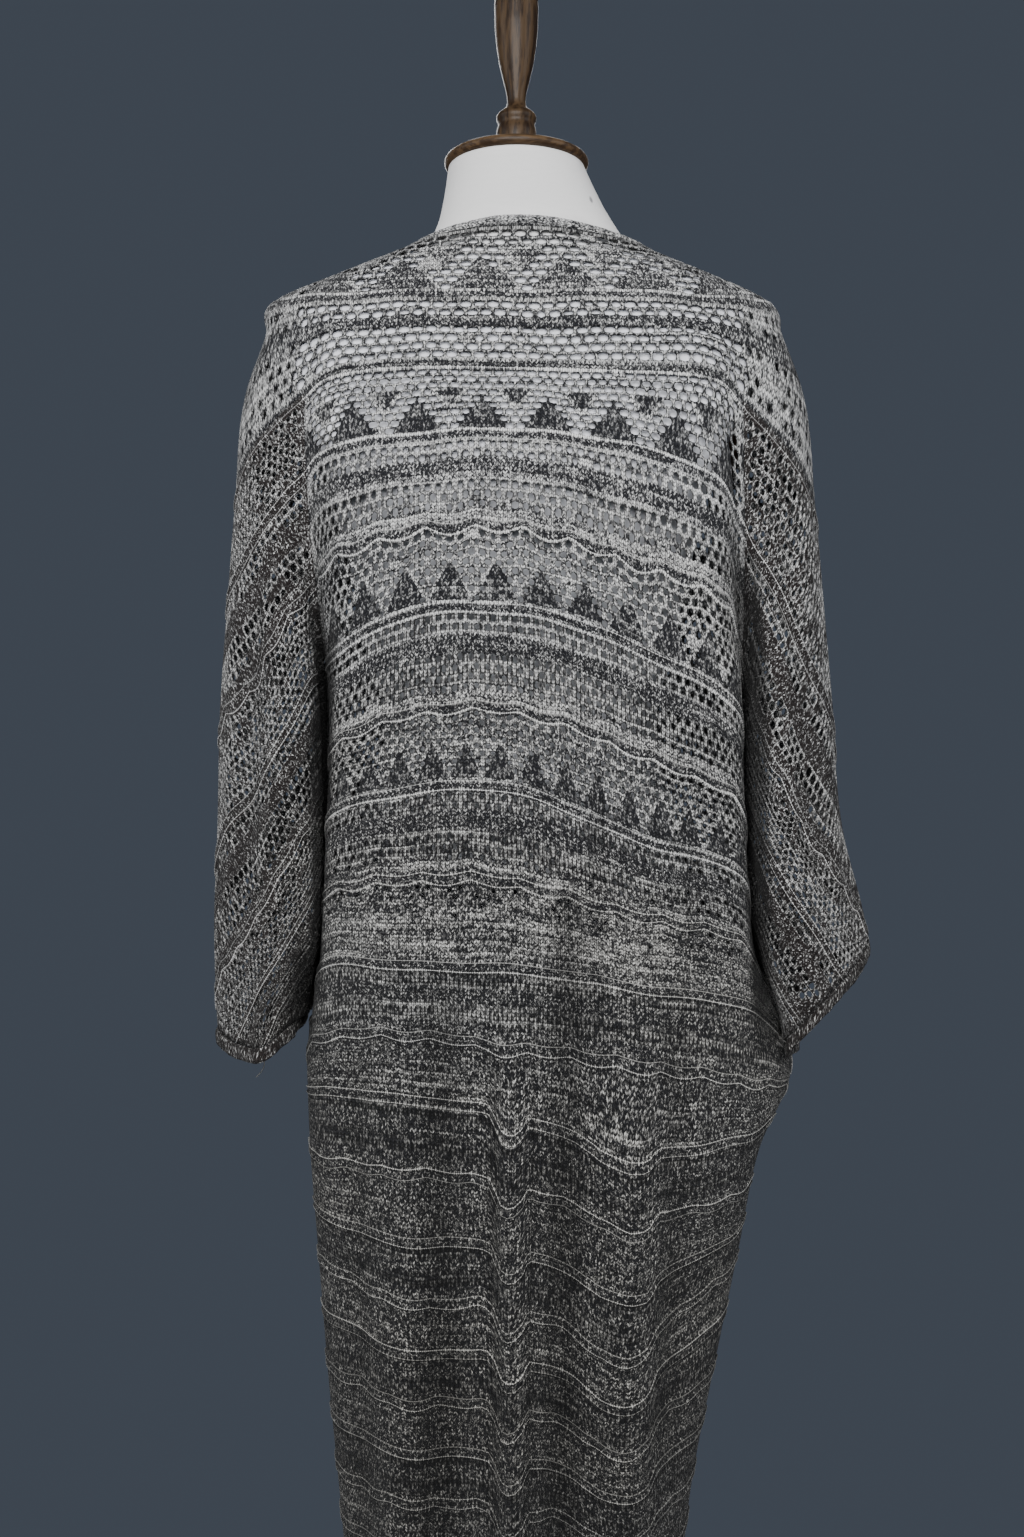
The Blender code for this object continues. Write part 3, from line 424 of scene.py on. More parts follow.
def cloth(side, half, height, place):
    """Points (M, 3) of the cardigan's inner face at heights and places along one half section."""
    height, place = (np.asarray(a, float).ravel() for a in np.broadcast_arrays(height, place))
    lip, fold, inner, crown, edge = side_stations(side, height)
    if half == "back":
        depth = by_height(BACK_DEPTH, 1, height)
        middle = np.stack([MIDDLE_ACROSS * lip[:, 0], depth - MIDDLE_FALL * (depth - lip[:, 1])], axis=-1)
        start = np.stack([0 * depth, depth], axis=-1)
        ghost = middle * (-1, 1)
    else:
        lip, fold, inner, crown = (p * (1, -FRONT_SHARE) for p in (lip, fold, inner, crown))
        start = front_edge(side, height)
        middle = 0.5 * (start + lip) - (0, FRONT_FULLNESS)
        ghost = 2 * start - middle
    # Under the arm a half section ends at the fold, with the lip mirrored beyond it
    closed = ((height < UNDERARM_HEIGHT[side]) & (place <= FOLD))[:, None]
    beyond = np.where(closed, lip * (1, -1), inner)
    points = np.stack([ghost, start, middle, lip, fold, beyond, crown, edge, crown * (1, -1)], axis=1)
    last = np.where(closed[:, 0], 2, 5)
    i = np.minimum(np.clip(np.floor(place).astype(int), 0, 5), last)
    t = (place - i)[:, None]
    before, first, second, after = (points[np.arange(len(i)), i + k] for k in range(4))
    flat = 0.5 * (
        2 * first + (second - before) * t
        + (2 * before - 5 * first + 4 * second - after) * t * t
        + (3 * first - 3 * second + after - before) * t ** 3
    )
    if half == "front":
        share = smooth_step(YOKE_LOW, YOKE_HIGH, height)[:, None]
        corner = np.stack(
            [start[:, 0] + YOKE_CORNER * (edge[:, 0] - start[:, 0]), start[:, 1]], axis=-1
        )
        u = (place / EDGE)[:, None]
        arc = (1 - u) ** 2 * start + 2 * u * (1 - u) * corner + u * u * edge
        flat = (1 - share) * flat + share * arc
    x, y = SIGN[side] * flat[:, 0], flat[:, 1]
    away = AWAY[half]
    fade = 1.0 - smooth_step(PLEAT_FADE, FOLD, place)
    y = y + away * fade * pleat_depth(x if half == "back" else -x, height)
    return np.stack([x, y + away * SEAM_HALF, height], axis=-1)


def side_heights(side, welt):
    """Heights of courses at the middle, lip, inner and edge stations of one side."""
    return [across_welt(welt, f"{side}_{name}") for name in ("middle", "lip", "inner", "edge")]


def fold_height(side, welt, lip, inner):
    underarm = UNDERARM_WELT[side]
    level = 1 - smooth_step(underarm, underarm + LEVEL_BELOW, welt)
    return lip + 0.5 * (inner - lip) * level


def underarm_height(side):
    welt = UNDERARM_WELT[side]
    _, lip, inner, _ = side_heights(side, welt)
    return float(fold_height(side, welt, lip, inner))


UNDERARM_HEIGHT = {side: underarm_height(side) for side in SIGN}


def back_heights(welt, places):
    """Heights (R, P) of courses across the whole back; places are positive on the wearer's left."""
    halves = {}
    for side in SIGN:
        middle, lip, inner, edge = side_heights(side, welt)
        halves[side] = [middle, lip, fold_height(side, welt, lip, inner), inner, edge]
    columns = halves["right"][::-1] + [across_welt(welt, "centre")] + halves["left"]
    return spread(BACK_KNOTS, np.stack(columns, axis=1), places)


def front_heights(side, welt, places):
    middle, lip, inner, edge = side_heights(side, welt)
    middle = 0.5 * (middle + lip)
    start = np.minimum(middle, FRONT_TOP - FRONT_DROP * welt)

    def level(own, station):
        return np.minimum(own, start + np.maximum(edge - start, 0) * station / EDGE)

    middle, lip, inner = level(middle, 1), level(lip, 2), level(inner, 4)
    columns = [start, middle, lip, fold_height(side, welt, lip, inner), inner, edge]
    return spread(FRONT_KNOTS, np.stack(columns, axis=1), places)


def cuff_height(side, place):
    return hermite(np.abs(place), CUFF_STATIONS, CUFF_HEIGHTS[side])


def courses(half, side, welt, places):
    """Points (R, P, 3) of courses at places. On the back, places run from right (negative) to left."""
    if half == "front":
        z = front_heights(side, welt, places)
        return cloth(side, half, z, np.broadcast_to(places, z.shape)).reshape(*z.shape, 3)
    z = back_heights(welt, places)
    out = np.empty((*z.shape, 3))
    for name, mask in (("right", places < 0), ("left", places >= 0)):
        if mask.any():
            part = z[:, mask]
            across = np.broadcast_to(np.abs(places[mask]), part.shape)
            out[:, mask] = cloth(name, half, part, across).reshape(*part.shape, 3)
    return out


def creases(x, z, half):
    """How far the creases push the cloth out, and how much painted shade they carry."""
    pushed, dark = np.zeros_like(x), np.zeros_like(x)
    across = x if half == "back" else -x
    for line, width, depth, painted_shade in CREASES:
        at = np.array(line[::-1])
        off = (across - np.interp(z, at[:, 0], at[:, 1])) / width
        low, high = at[0, 0], at[-1, 0]
        fade = min(CREASE_FADE_SHARE * (high - low), CREASE_FADE)
        ends = smooth_step(high, high - fade, z)
        if low > CREASE_TO_HEM:
            ends = ends * smooth_step(low, low + fade, z)
        pushed += depth * ends * np.exp(-off * off)
        dark = dark + painted_shade * ends * np.exp(-off ** 4) * (1 - dark)
    return pushed, dark


# ---------------------------------------------------------------- rows of the knit

WALE, COURSE = 0.0034, 0.0028  # width and height of a stitch
WELT_HALF = 0.0041  # half width of a welt with both its lines
WELT_RISE = 0.0012
# Rows across a welt: distance from its middle in metres, rise and tone, from 0 to 1
WELT_LINES = (
    (-0.0041, 0.0, 0.0),
    (-0.0034, 1.0, 1.0),
    (-0.0027, 0.35, -0.3),
    (0.0, 0.25, -0.5),
    (0.0027, 0.35, -0.3),
    (0.0034, 1.0, 1.0),
    (0.0041, 0.0, 0.0),
)
# Depths of the scallops on the lower and upper line of each even welt from the fourth down
SCALLOPS = {4: (0.0068, 0.0030), 6: (0.0040, 0.0024), 8: (0.0040, 0.0026), 10: (0.0034, 0.0022)}
SCALLOP_LATER = (0.0030, 0.0022)
SCALLOP_FIRST, SCALLOP_PERIOD, SCALLOP_POWER = 4, 0.037, 1.2
FINER = {2: 0.80}  # rows of the boldest triangles, lower than the others


def welt_spacing(welt):
    """Distance between courses a whole welt apart, at the centre back."""
    welt, step = float(np.clip(welt, 0.1, LAST_WELT - 0.2)), 0.05
    return float((across_welt(welt - step, "centre") - across_welt(welt + step, "centre")) / (2 * step))


def course_count(welt):
    """Courses from the top down to a welt number, the V coordinate of the knit."""
    fine = np.linspace(0, LAST_WELT, 1200)
    return np.interp(welt, fine, (across_welt(0.0, "centre") - across_welt(fine, "centre")) / COURSE)


def scallop_of(welt):
    """Depths of the scallops on a welt's lower and upper line."""
    return SCALLOPS.get(welt, SCALLOP_LATER) if welt % 2 == 0 and welt >= SCALLOP_FIRST else (0.0, 0.0)


def knit_rows(first, last, cell_height):
    """Rows of a region: welt numbers, their rise, their tone and the depth of their scallops.

    The second list holds the rows of the lace: index of the middle row, share of the band, band.
    """
    rows, cells = [], []
    for n in range(int(math.floor(first)), int(math.ceil(last)) + 1):
        space = welt_spacing(n)
        lower, upper = scallop_of(n)
        for offset, rise, tone in WELT_LINES:
            wave = lower + (upper - lower) * (0.5 - 0.5 * offset / WELT_HALF)
            rows.append((n + offset / space, rise, tone, wave))
        start, end = n + WELT_HALF / space, n + 1 - WELT_HALF / welt_spacing(n + 1)
        count = max(int(round((end - start) * space / (cell_height * FINER.get(n, 1.0)))), 1)
        for half in range(1, 2 * count):  # the middles of cells are odd, the rows between them even
            share = half / 2 / count
            at = start + (end - start) * share
            if half % 2:
                cells.append((at, share))
            # The scallops of the welts above and below die away within the band
            wave = lower * max(1 - share * 1.6, 0) + scallop_of(n + 1)[1] * max(share * 2 - 1, 0)
            rows.append((at, 0.0, 0.0, wave))
    rows = [r for r in rows if first - 1e-9 <= r[0] <= last + 1e-9]
    if abs(rows[0][0] - first) > 1e-6:
        rows.insert(0, (first, 0.0, 0.0, 0.0))
    if abs(rows[-1][0] - last) > 1e-6:
        rows.append((last, 0.0, 0.0, 0.0))
    index = {round(r[0], 7): i for i, r in enumerate(rows)}
    found = [(index.get(round(at, 7), 0), share, math.floor(at)) for at, share in cells]
    return np.array(rows), [c for c in found if 0 < c[0] < len(rows) - 1]


# ---------------------------------------------------------------- pattern of the lace

# Triangles of each band: distance between them and the place of one, from the centre back
TRIANGLES = {
    0: (0.0636, 0.029), 2: (0.0504, 0.0294), 4: (0.0353, 0.019), 6: (0.0263, 0.0157), 8: (0.0330, 0.0)
}
OTHER_TRIANGLES = (0.036, 0.006)
APEX, BASE = 0.39, 0.97  # shares of a band at which its dark triangles start and stand
TRIANGLE_SPREAD = 0.44  # half of a triangle's base as a share of the distance between two
PATCH_START, PATCH_END, PATCH_SPREAD = 0.34, 0.68, 0.26  # plain patches between the triangles' tops
PATCH_TONE = 0.00022  # how dark those patches are, as a depth inside a dark triangle
PATCH_BAND, PLAIN_BAND = 4, 8  # no patches show from the first of these bands down, and no triangles
AIRY_BAND = 2  # down to this one the holes are widest
# Openness of the lace by welt number, from the airy yoke to the close skirt, and on the sleeves
BODY_OPEN = ((0, 2.5, 4, 6, 8, 9.5, 12), (1.0, 1.0, 0.86, 0.70, 0.52, 0.0, 0.0))
SLEEVE_OPEN = ((0, 2.8, 3.6, 9), (0.70, 0.78, 1.0, 0.98))
# Half width and half height of an eyelet as shares of its cell
ODD_HOLE, EVEN_HOLE, AIRY_HOLE, AIRY_EVEN_HOLE = (0.56, 0.84), (0.62, 0.80), (0.84, 0.84), (0.84, 0.86)
SLEEVE_HOLE = (0.78, 0.86)


def triangle_depth(band, share, across, sleeve):
    """How far inside a dark triangle a point lies, and how far inside the patch between two."""
    period, phase = np.empty(band.shape), np.empty(band.shape)
    for n in np.unique(band):
        period[band == n], phase[band == n] = TRIANGLES.get(int(n), OTHER_TRIANGLES)
    off = np.abs(across - phase - period * np.round((across - phase) / period))
    inside = TRIANGLE_SPREAD * period * (share - APEX) / (BASE - APEX) - off
    inside = np.where((share > APEX) & (share < BASE), inside, np.minimum(inside, -0.004))
    patch = PATCH_SPREAD * period * (PATCH_END - share) / (PATCH_END - PATCH_START) - (period / 2 - off)
    patch = np.where((share > PATCH_START - 0.04) & (share < PATCH_END), patch, -1.0)
    shown = (band % 2 == 0) & (band < PLAIN_BAND) & (not sleeve)
    return np.where(shown, inside, -0.01), np.where(shown & (band < PATCH_BAND), patch, -1.0)


def eyelet_shape(band, share, across, sleeve):
    """Half width and half height of each cell's eyelet as shares of the cell; 0 for a closed cell."""
    inside, patch = triangle_depth(band, share, across, sleeve)
    odd, airy = band % 2 == 1, band <= AIRY_BAND
    mesh = ~odd & (share < BASE) & (inside < 0.001) & (patch < 0)
    size = np.zeros((2, *across.shape))
    for mask, hole in (
        (odd & ((share < 0.27) | ((share > 0.47) & (share < 0.90))), ODD_HOLE),
        (odd & airy & ((share < 0.24) | ((share > 0.45) & (share < 0.93))), AIRY_HOLE),
        (mesh, EVEN_HOLE),
        (mesh & airy, AIRY_EVEN_HOLE),
    ):
        size[:, mask] = np.array(hole)[:, None]
    if sleeve:
        size = np.where(size > 0, np.array(SLEEVE_HOLE)[:, None], 0)
    return size


def waviness(u, v):
    """Gentle unevenness of the courses, along the cloth."""
    return (
        0.0007 * np.sin(u * 39 + v * 0.05 + 1.0)
        + 0.0006 * np.sin(u * 91 + v * 0.11 + 0.3 * np.sin(v * 0.21))
        + 0.0009 * np.sin(u * 17 - v * 0.023 + 2.0)
    )


# ---------------------------------------------------------------- lattice of half cells

PLACE_STEPS = 26  # samples of a course for each place
SHORTEST_ROW, NEAREST_WALE = 0.6, 0.25  # in cells: the shortest course kept, and the margin at its ends
RING = ((-1, -1), (-1, 0), (-1, 1), (0, 1), (1, 1), (1, 0), (1, -1), (0, -1))
RING_ROUND = 1.08  # how full an eyelet's corners are
WELT_SHARE = WELT_HALF / 0.055  # part of a band that its welt takes
# Chance that a cell stays closed, how much the sizes vary and the smallest half width, in cells
BODY_HOLES, SLEEVE_HOLES, SMALLEST_HOLE = (0.03, 0.13), (0.14, 0.24), 0.30
PAST_FORM = (0.170, 0.182)  # beyond this x the form's flat sides don't back the holes, which are smaller
# The fold attribute holds painted shade: beside the sleeve, along the creases, at the cuffs and under the
# rolled back neck
ATTRIBUTES = ("tri", "line", "welt", "rim", "dot", "fold")
COLUMN = {name: 2 + i for i, name in enumerate(ATTRIBUTES)}  # after the two knit coordinates


class Knit:
    """Vertices, knit coordinates and faces of one piece, gathered region by region."""

    def __init__(self):
        self.points, self.extra, self.quads, self.tris, self.size = [], [], [], [], 0

    def add(self, points, extra):
        """Add vertices, and return the number of the first."""
        first = self.size
        self.points.append(points.reshape(-1, 3))
        self.extra.append(extra.reshape(-1, extra.shape[-1]))
        self.size += len(self.points[-1])
        return first


def course_lines(half, side, welt, span, sleeve):
    """Courses as points (R, P, 3), the distance along each, and where each starts and ends."""
    low, high = span
    places = np.linspace(low, high, int(PLACE_STEPS * abs(high - low)) + 1)
    points = courses(half, side, welt, places)
    arc = lengths(points)
    if low < 0 < high:
        arc = arc - np.array([np.interp(0.0, places, a) for a in arc])[:, None]
    start, end = arc[:, 0].copy(), arc[:, -1].copy()
    if sleeve:  # cut off where a course meets the cuff
        above = points[:, :, 2] - cuff_height(side, places)[None, :]
        for i, row in enumerate(above):
            under = np.nonzero(row < 0)[0]
            if len(under) and under[0] == 0:
                end[i] = start[i]
            elif len(under):
                j = under[0]
                share = row[j - 1] / (row[j - 1] - row[j])
                end[i] = arc[i, j - 1] + share * (arc[i, j] - arc[i, j - 1])
    return points, arc, start, end


def frames(points, half):
    """Unit vectors along the courses, down across them and out of the cloth."""
    along, down = unit(np.gradient(points, axis=1)), unit(np.gradient(points, axis=0))
    normal = unit(np.cross(along, down))
    return along, down, -normal if AWAY[half] * normal[:, :, 1].mean() < 0 else normal


def row_shifts(points, arc, along, start, end):
    """How far each course of a sleeve is set along from the first, so that its wales run straight."""
    shift = np.zeros(len(points))
    for i in range(len(points) - 1):
        s = np.linspace(start[i] + 0.25 * (end[i] - start[i]), start[i] + 0.8 * (end[i] - start[i]), 6)
        here, below = sample(s, arc[i], points[i]), sample(s, arc[i + 1], points[i + 1])
        shift[i + 1] = shift[i] + ((below - here) * sample(s, arc[i], along[i])).sum(axis=1).mean()
    return shift


class Region:
    """The part of a panel between two courses and two places, as a lattice of half cells."""

    def __init__(self, half, side, welts, span, pitch, cell_height, seed, sleeve=False):
        self.half, self.side, self.sleeve, self.welts = half, side, sleeve, welts
        rows, cells = knit_rows(*welts, cell_height)
        points, arc, start, end = course_lines(half, side, rows[:, 0], span, sleeve)
        keep = end - start > SHORTEST_ROW * pitch
        stop = len(rows) if keep.all() else int(np.argmin(keep))
        rows, points, arc, start, end = (a[:stop] for a in (rows, points, arc, start, end))
        self.cells = [c for c in cells if c[0] < stop - 1]
        along, down, normal = frames(points, half)
        shift = row_shifts(points, arc, along, start, end) if sleeve else np.zeros(stop)
        self.rows, self.start, self.end = rows, start[:, None], end[:, None]
        self.cuff_ends = (end < arc[:, -1] - 1e-4)[:, None]
        self.lay_wales(shift[:, None], pitch)
        self.at, self.normal, self.down = (
            np.stack([sample(s, a, row) for s, a, row in zip(self.s, arc, grid)])
            for grid in (points, normal, down)
        )
        self.relief()
        self.open_cells(np.random.default_rng(seed))

    def lay_wales(self, shift, pitch):
        """Distances along the courses at which the wales cross them."""
        k = np.arange(
            int(np.floor(((self.start + shift) / pitch).min())) - 1,
            int(np.ceil(((self.end + shift) / pitch).max())) + 2,
        )
        at, margin = k[None, :] * pitch - shift, NEAREST_WALE * pitch
        first = (at <= self.start + margin).sum(axis=1)[:, None] - 1
        last = len(k) - (at >= self.end - margin).sum(axis=1)[:, None]
        columns = np.arange(len(k))[None, :]
        s = np.clip(at, self.start, self.end)
        s = np.where(columns <= first, self.start, np.where(columns >= last, self.end, s))
        self.k, self.s, self.u = k, s, s + shift
        self.inside = (columns > first) & (columns < last)
        self.held = np.clip(columns, first, last)

    def relief(self):
        """Move the points onto the knit's surface, and give each its coordinates and attributes."""
        s, u, rows = self.s, self.u, self.rows
        x, z, first, back = self.at[:, :, 0], self.at[:, :, 2], self.welts[0], self.half == "back"
        welt, rise, tone, wave = (rows[:, i][:, None] for i in range(4))
        v = course_count(rows[:, 0])[:, None]
        band = np.floor(welt + 1e-6)
        share = np.clip((welt - band - WELT_SHARE) / (1 - 2 * WELT_SHARE), 0, 1)
        edge = np.minimum(s - self.start, self.end - s)
        fade = np.minimum(edge / 0.02, 1.0)
        ends = smooth_step(0.004, 0.050, edge) if first < 1 else np.ones_like(edge)
        # Scallops and unevenness slide the courses, but not where two regions meet
        drift = 0.5 * np.sin(u * 11.0 + welt * 2.0)
        scallop = wave * np.abs(np.sin(np.pi * (u / SCALLOP_PERIOD + 0.12 * drift))) ** SCALLOP_POWER
        slide = (scallop - 0.5 * wave + waviness(u, v)) * fade
        slide *= smooth_step(0, 0.25, welt) * smooth_step(0, 0.3, LAST_WELT - welt)
        if YOKE_WELT in self.welts:
            slide *= smooth_step(0.05, 0.12, np.abs(welt - YOKE_WELT))
        # The knit sinks into the fold beside the sleeve, and takes painted shade there, as along the creases
        creased, dark = creases(x, z, self.half)
        arm = self.side or "right"
        underarm = np.where(x < 0, UNDERARM_WELT[arm], UNDERARM_WELT[self.side or "left"])
        inner = np.full(u.shape, 1.0) if first < 1 else (s - self.start if self.sleeve else edge)
        tucked_and_shaded = smooth_step(3.4, 5.0, welt) * smooth_step(0.35, -0.05, welt - underarm)
        tucked_and_shaded = tucked_and_shaded * smooth_step(0.022, 0.003, inner)
        push = rise * WELT_RISE * ends + creased * fade - FOLD_SINK * tucked_and_shaded
        # Painted shade at the cuff, and a painted shadow at the back neck under the edge that rolls over
        cut = self.cuff_ends * smooth_step(0.006, 0.002, self.end - s)
        rolled = smooth_step(0.055, 0.030, np.abs(welt - 0.05)) * (np.abs(x) < 0.16) * back
        painted_shade = 1 - (1 - tucked_and_shaded) * (1 - dark) * (1 - 0.55 * cut) * (1 - 0.6 * rolled)
        if back and not self.sleeve:
            hang = np.interp(x, HANG_X, HANG_DROP) * smooth_step(9.7, 11.2, welt)
            slide = slide + hang * smooth_step(0, 0.8, LAST_WELT - welt)
        self.at = self.at + self.down * slide[:, :, None] + self.normal * push[:, :, None]
        tri, patch = triangle_depth(*(np.broadcast_to(a, u.shape) for a in (band, share)), u, self.sleeve)
        tri = np.maximum(tri, np.minimum(patch, PATCH_TONE))
        # The last value, kept as the fold attribute, is the painted shade
        self.extra = np.stack(
            np.broadcast_arrays(u / WALE, v, tri * 1000, tone * ends, welt, 0.0, 0.0, painted_shade), axis=-1
        )

    def open_cells(self, rng):
        """Choose the cells that hold an eyelet: row, wale, half width and half height."""
        k, inside, sleeve = self.k, self.inside, self.sleeve
        closed_share, variety = SLEEVE_HOLES if sleeve else BODY_HOLES
        self.closed = np.ones((len(self.rows) - 1, len(k) - 1), bool)
        self.eyelets = []
        for j, (i, share, band) in enumerate(self.cells):
            ks = np.nonzero(((k + j) % 2 == 0)[1:-1])[0] + 1
            ks = ks[np.all([inside[i + di, ks + dk] for di in (-1, 0, 1) for dk in (-1, 1)], axis=0)]
            past = smooth_step(*PAST_FORM, np.abs(self.at[i, ks, 0])) * (not sleeve)
            is_open = float(np.interp(self.rows[i, 0], *(SLEEVE_OPEN if sleeve else BODY_OPEN)))
            is_open = is_open * (1 - 0.62 * past)
            cell = np.full(len(ks), float(band)), np.full(len(ks), share)
            wide, tall = eyelet_shape(*cell, self.u[i, ks], sleeve)
            jitter = 1 + variety * rng.standard_normal((2, len(ks)))
            kept = rng.random(len(ks)) > closed_share
            # An eyelet too small to open stays a dot, a dimple with painted shade
            dot = np.where((wide > 0) & kept, 1.0, 0.0) * (0.75 + 0.25 * jitter[0]) * (1 - 0.35 * past)
            self.extra[i, ks, COLUMN["dot"]] = dot
            wide, tall = wide * is_open * jitter[0], tall * (0.4 + 0.6 * is_open) * jitter[1]
            go = (wide > SMALLEST_HOLE) & kept
            for at, w, h in zip(ks[go], np.clip(wide[go], 0.2, 0.88), np.clip(tall[go], 0.2, 0.9)):
                self.eyelets.append((i, at, w, h))
                self.closed[i - 1:i + 1, at - 1:at + 1] = False

    def add_to(self, knit):
        """Add the vertices and faces to a piece."""
        at, extra, wide = self.at, self.extra, len(self.k)
        index = knit.add(at, extra) + np.arange(len(self.rows))[:, None] * wide + self.held
        if self.eyelets:
            i, k, w, h = (np.array(a) for a in zip(*self.eyelets))
            corner = w * h / np.sqrt(w ** 2 + h ** 2) * RING_ROUND
            rings, ring_extra, outer = [], [], []
            for di, dk in RING:
                reach = (corner if di and dk else h if di else w)[:, None]
                rings.append(at[i, k] + reach * (at[i + di, k + dk] - at[i, k]))
                mixed = extra[i, k] + reach * (extra[i + di, k + dk] - extra[i, k])
                mixed[:, COLUMN["rim"]], mixed[:, COLUMN["dot"]] = 1.0, 0.0
                ring_extra.append(mixed)
                outer.append(index[i + di, k + dk])
            first = knit.add(np.stack(rings, axis=1), np.stack(ring_extra, axis=1))
            inner = (first + np.arange(len(i) * len(RING)).reshape(-1, len(RING))).T
            for j, m in enumerate((1, 2, 3, 4, 5, 6, 7, 0)):
                knit.quads.append(np.stack([outer[j], outer[m], inner[m], inner[j]], axis=1))
        a, b = index[:-1, :-1][self.closed], index[:-1, 1:][self.closed]
        c, d = index[1:, 1:][self.closed], index[1:, :-1][self.closed]
        knit.quads.append(np.stack([a, b, c, d], axis=1)[(a != b) & (c != d)])
        knit.tris.append(np.stack([a, c, d], axis=1)[(a == b) & (c != d)])
        knit.tris.append(np.stack([a, b, c], axis=1)[(a != b) & (c == d)])


NO_TRIANGLE, CUFF_WELT = -5.0, 7.0  # for the bands: outside all triangles, and the cuffs' tone


def write_knit(mesh, uv, values):
    """Give a mesh its knit coordinates and attributes, known for each vertex."""
    loops = np.empty(len(mesh.loops), int)
    mesh.loops.foreach_get("vertex_index", loops)
    uv = np.asarray(uv, np.float32)[loops]
    mesh.uv_layers.new(name="knit").data.foreach_set("uv", uv.ravel())
    for key, value in zip(ATTRIBUTES, values):
        data = np.broadcast_to(np.asarray(value, np.float32), (len(mesh.vertices),))
        mesh.attributes.new(key, "FLOAT", "POINT").data.foreach_set("value", np.ascontiguousarray(data))


def knit_object(name, half, side, regions):
    """A panel's object, with its faces turned outwards and its cloth's thickness."""
    knit = Knit()
    for region in regions:
        Region(half, side, *region).add_to(knit)
    points, extra, quads, tris = (np.concatenate(a) for a in (knit.points, knit.extra, knit.quads, knit.tris))
    used = np.zeros(len(points), bool)
    used[quads.ravel()] = True
    used[tris.ravel()] = True
    new = np.cumsum(used) - 1
    points, extra, quads, tris = points[used], extra[used], new[quads], new[tris]
    a, b, d = (points[quads[:, i]] for i in (0, 1, 3))
    if AWAY[half] * np.cross(b - a, d - a)[:, 1].sum() < 0:
        quads, tris = quads[:, ::-1], tris[:, ::-1]
    made = mesh_object(name, points, quads.tolist() + tris.tolist())
    write_knit(made.data, extra[:, :2], extra[:, 2:].T)
    solid = made.modifiers.new("Cloth", "SOLIDIFY")
    solid.thickness, solid.offset = CLOTH_THICK, 1.0
    return made


# ---------------------------------------------------------------- materials


def operator(operation, turned=False):
    """A method that adds a math node for a value and the others, or turned, with the value last."""
    def apply(self, *others):
        return self.graph.math(operation, *((*others, self) if turned else (self, *others)))
    return apply


class Value:
    """A socket of a node tree. Sums and products of values add the nodes that work them out."""

    def __init__(self, graph, socket):
        self.graph, self.socket = graph, socket

    __add__, __radd__ = operator("ADD"), operator("ADD", turned=True)
    __sub__, __rsub__ = operator("SUBTRACT"), operator("SUBTRACT", turned=True)
    __mul__, __rmul__ = operator("MULTIPLY"), operator("MULTIPLY", turned=True)
    __pow__, __mod__, __abs__ = operator("POWER"), operator("MODULO"), operator("ABSOLUTE")
    floor, fract, sine = operator("FLOOR"), operator("FRACT"), operator("SINE")

    def step(self, low, high):
        values = {0: self, 1: low, 2: high}
        return self.graph.node("MapRange", values=values, interpolation_type="SMOOTHSTEP")

    def ramp(self, low, high, first, last):
        return self.graph.node("MapRange", values={0: self, 1: low, 2: high, 3: first, 4: last})

    def within(self, low, high, end, gone):
        """1 from high to end, falling to 0 at low and gone."""
        return self.step(low, high) * (1 - self.step(end, gone))


class Graph:
    """A material's node tree, written as expressions."""

    def __init__(self, name):
        self.material = bpy.data.materials.new(name)
        self.material.use_nodes = True
        self.tree = self.material.node_tree
        self.shader = self.tree.nodes["Principled BSDF"]

    def link(self, value, socket):
        if isinstance(value, Value):
            self.tree.links.new(value.socket, socket)
        elif value is not None:
            socket.default_value = value

    def node(self, kind, out=0, values=(), **settings):
        made = self.tree.nodes.new("ShaderNode" + kind)
        for key, value in settings.items():
            setattr(made, key, value)
        for key, value in dict(values).items():
            self.link(value, made.inputs[key])
        return Value(self, made.outputs[out])

    def math(self, operation, *values):
        return self.node("Math", values=enumerate(values), operation=operation)

    def vector(self, x=0.0, y=0.0, z=0.0):
        return self.node("CombineXYZ", values=((0, x), (1, y), (2, z)))

    def parts(self, vector):
        made = self.tree.nodes.new("ShaderNodeSeparateXYZ")
        self.link(vector, made.inputs[0])
        return [Value(self, out) for out in made.outputs]

    def attribute(self, name):
        return self.node("Attribute", out="Fac", attribute_name=name)

    def noise(self, vector, scale=1.0, detail=2.0, roughness=0.5):
        values = {"Vector": vector, "Scale": scale, "Detail": detail, "Roughness": roughness}
        return self.node("TexNoise", values=values)

    def mix(self, share, a, b, blend="MIX"):
        values = {0: share, 6: a, 7: b}
        return self.node("Mix", out=2, values=values, data_type="RGBA", blend_type=blend)

    def finish(self, height, distance, strength, **inputs):
        """Set the shader's own sockets, and its bump where there is one."""
        if height is not None:
            values = {"Height": height, "Distance": distance, "Strength": strength}
            inputs["Normal"] = self.node("Bump", values=values)
        for key, value in inputs.items():
            self.link(value, self.shader.inputs[key.replace("_", " ")])
        return self.material


def rgb(*values, times=1.0):
    return (*(v * times for v in values), 1.0)


